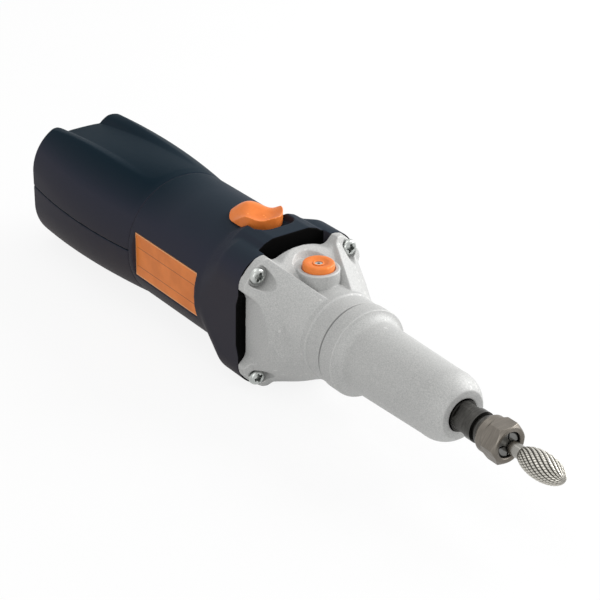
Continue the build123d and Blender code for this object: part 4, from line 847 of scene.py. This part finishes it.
def casting_screws():
    """The four screws in the casting's ears, each turned its own way."""
    low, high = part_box("casting_screws")
    seat = high.x / MM - SCREW_HEAD_HEIGHT
    tip = low.x / MM
    sides = (-SCREW_OFFSET, SCREW_OFFSET)
    places = [(y, z) for y in sides for z in sides]
    meshes = [
        ring_mesh("screw", screw_rings(seat, tip, y, z, turn))
        for (y, z), turn in zip(places, SCREW_TURNS)
    ]
    mesh = joined_mesh("casting_screws_fine", meshes)
    mesh.set_sharp_from_angle(angle=math.radians(SCREW_SHARP))
    stand_in(piece("casting_screws_fine", mesh), "casting_screws")


def lathe(name, line, centre):
    """Mesh turned about Z through the centre from a line of (radius, height)."""
    angles = np.linspace(0, 2 * math.pi, LATHE_AROUND, endpoint=False)
    rings = []
    for radius, height in line:
        x, y = centre[0] + radius * np.cos(angles), centre[1] + radius * np.sin(angles)
        rings.append(np.stack([x, y, height + 0 * angles], axis=1))
    return ring_mesh(name, np.stack(rings) * MM, closed=True)


def arc(centre_r, centre_h, radius, start, end):
    """Points of an arc of a turned line, from one angle to another in degrees."""
    turns = np.radians(np.linspace(start, end, ARC_POINTS))
    return [(centre_r + radius * math.cos(t), centre_h + radius * math.sin(t)) for t in turns]


def lock_button():
    """Orange button with a rounded rim and a dished top round a sunk screw."""
    low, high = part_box("lock_button")
    centre = ((low.x + high.x) / 2 / MM, (low.y + high.y) / 2 / MM)
    top, bottom = high.z / MM, low.z / MM
    dish_low = top - BUTTON_DISH_DEPTH
    eye_low = dish_low - BUTTON_EYE_DEPTH
    ceiling = top - BUTTON_ROOF
    skirt = BUTTON_RADIUS - BUTTON_SKIRT
    line = [(skirt, bottom), (BUTTON_RADIUS - BUTTON_FOOT, bottom)]
    line.append((BUTTON_RADIUS, bottom + BUTTON_FOOT))
    line += arc(BUTTON_RADIUS - BUTTON_EDGE, top - BUTTON_EDGE, BUTTON_EDGE, 0, 90)
    dish_run = BUTTON_EYE_RADIUS + BUTTON_LIP - BUTTON_DISH_RADIUS
    for share in np.linspace(0, 1, BUTTON_DISH_POINTS):
        fall = share * share * (3 - 2 * share)
        line.append((BUTTON_DISH_RADIUS + dish_run * share, top - BUTTON_DISH_DEPTH * fall))
    line += arc(BUTTON_EYE_RADIUS + BUTTON_LIP / 2, dish_low, BUTTON_LIP / 2, 0, 180)
    line += [(BUTTON_EYE_RADIUS, eye_low), (BUTTON_SCREW_RADIUS, eye_low)]
    line += [(BUTTON_SCREW_RADIUS, ceiling), (skirt, ceiling)]
    mesh = lathe("lock_button_fine", line, centre)
    stand_in(piece("lock_button_fine", mesh), "lock_button")


def lock_spring():
    """Return spring inside the button: a turned tube with a mesh of its own."""
    low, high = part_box("lock_spring")
    middle = (low + high) / 2
    outer = (high.x - low.x) / 2 / MM
    inner = outer - SPRING_WALL
    bottom, top = low.z / MM, high.z / MM
    line = [(inner, bottom), (outer, bottom), (outer, top), (inner, top)]
    mesh = lathe("lock_spring_fine", line, (middle.x / MM, middle.y / MM))
    spring = stand_in(piece("lock_spring_fine", mesh), "lock_spring")
    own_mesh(spring)


def paint_nodes():
    """Every CAD node takes its slot's material."""
    for name, obj in NODES.items():
        obj.data.materials.clear()
        obj.data.materials.append(MATERIALS[SLOTS[name]])


def background_share(tree):
    """1 on rays that should see the white background: from the camera, gloss and glass."""
    path = tree.nodes.new("ShaderNodeLightPath")
    share = path.outputs["Is Camera Ray"]
    for name in ("Is Glossy Ray", "Is Transmission Ray"):
        most = tree.nodes.new("ShaderNodeMath")
        most.operation = "MAXIMUM"
        tree.links.new(share, most.inputs[0])
        tree.links.new(path.outputs[name], most.inputs[1])
        share = most.outputs["Value"]
    return share


def add_world():
    """White surroundings that light the object less than they show."""
    world = bpy.data.worlds.new("studio")
    bpy.context.scene.world = world
    world.use_nodes = True
    tree = world.node_tree
    dim = tree.nodes["Background"]
    white = tree.nodes.new("ShaderNodeBackground")
    for background, strength in ((dim, WORLD_LIGHT), (white, 1.0)):
        background.inputs["Color"].default_value = WHITE
        background.inputs["Strength"].default_value = strength
    mix = tree.nodes.new("ShaderNodeMixShader")
    tree.links.new(background_share(tree), mix.inputs["Fac"])
    tree.links.new(dim.outputs[0], mix.inputs[1])
    tree.links.new(white.outputs[0], mix.inputs[2])
    tree.links.new(mix.outputs[0], tree.nodes["World Output"].inputs["Surface"])


def add_floor():
    """White floor that still shows the object's soft shadow."""
    height = CAD_BOX[0][2]
    mesh = bpy.data.meshes.new("floor")
    signs = ((-1, -1), (1, -1), (1, 1), (-1, 1))
    corners = [(x * FLOOR_HALF, y * FLOOR_HALF, height) for x, y in signs]
    mesh.from_pydata(corners, [], [(0, 1, 2, 3)])
    floor = piece("floor", mesh)
    s = Shade("floor")
    s.look(Base_Color=s.blend(s.noise(40.0, 2.0), FLOOR_DEEP, FLOOR_BRIGHT))
    s.look(Roughness=0.9, Specular_IOR_Level=0.0)
    glow = s.node("ShaderNodeEmission", {"Strength": 1.0, "Color": WHITE})
    share = s.maths(background_share(s.tree), FLOOR_WHITE, "MULTIPLY")
    mix = s.node("ShaderNodeMixShader", {0: share, 1: s.surface.outputs[0], 2: glow.outputs[0]})
    s.feed(s.tree.nodes["Material Output"].inputs["Surface"], mix.outputs[0])
    mesh.materials.append(s.material)


def add_softbox(name, place, width, height, power):
    """Area light at a place in metres, aimed at the middle of the object."""
    lamp = bpy.data.lights.new(name, "AREA")
    lamp.shape = "RECTANGLE"
    lamp.size = width
    lamp.size_y = height
    lamp.energy = power
    obj = bpy.data.objects.new(name, lamp)
    bpy.context.scene.collection.objects.link(obj)
    aim = (Vector(CAD_BOX[0]) + Vector(CAD_BOX[1])) / 2
    obj.location = place
    obj.rotation_euler = (aim - Vector(place)).to_track_quat("-Z", "Y").to_euler()


def add_camera():
    """Camera that stood where the photograph's did."""
    yaw, pitch, roll = (math.radians(v) for v in (CAMERA_YAW, CAMERA_PITCH, CAMERA_ROLL))
    level = math.cos(pitch)
    back = Vector((math.sin(yaw) * level, -math.cos(yaw) * level, math.sin(pitch)))
    right = Vector((0, 0, 1)).cross(back).normalized()
    turn = Matrix((right, back.cross(right), back)).transposed()
    turn = turn @ Matrix.Rotation(roll, 3, "Z")
    lens = bpy.data.cameras.new("camera")
    lens.sensor_width = SENSOR
    lens.lens = SENSOR * FOCAL_PIXELS / FRAME_PIXELS
    lens.clip_start = NEAREST_SEEN
    camera = bpy.data.objects.new("camera", lens)
    camera.matrix_world = Matrix.Translation(Vector(CAMERA_PLACE) * MM) @ turn.to_4x4()
    bpy.context.scene.collection.objects.link(camera)
    bpy.context.scene.camera = camera


bpy.context.scene.view_settings.view_transform = "Standard"
make_materials()
paint_nodes()
soft = {node: softened(node, *sizes) for node, sizes in SOFT_PIECES.items()}
slim_stem(soft["switch_slider"])
collet_nut()
burr_head()
casting_screws()
lock_button()
lock_spring()
add_world()
add_floor()
for lamp, settings in LAMPS.items():
    add_softbox(lamp, *settings)
add_camera()
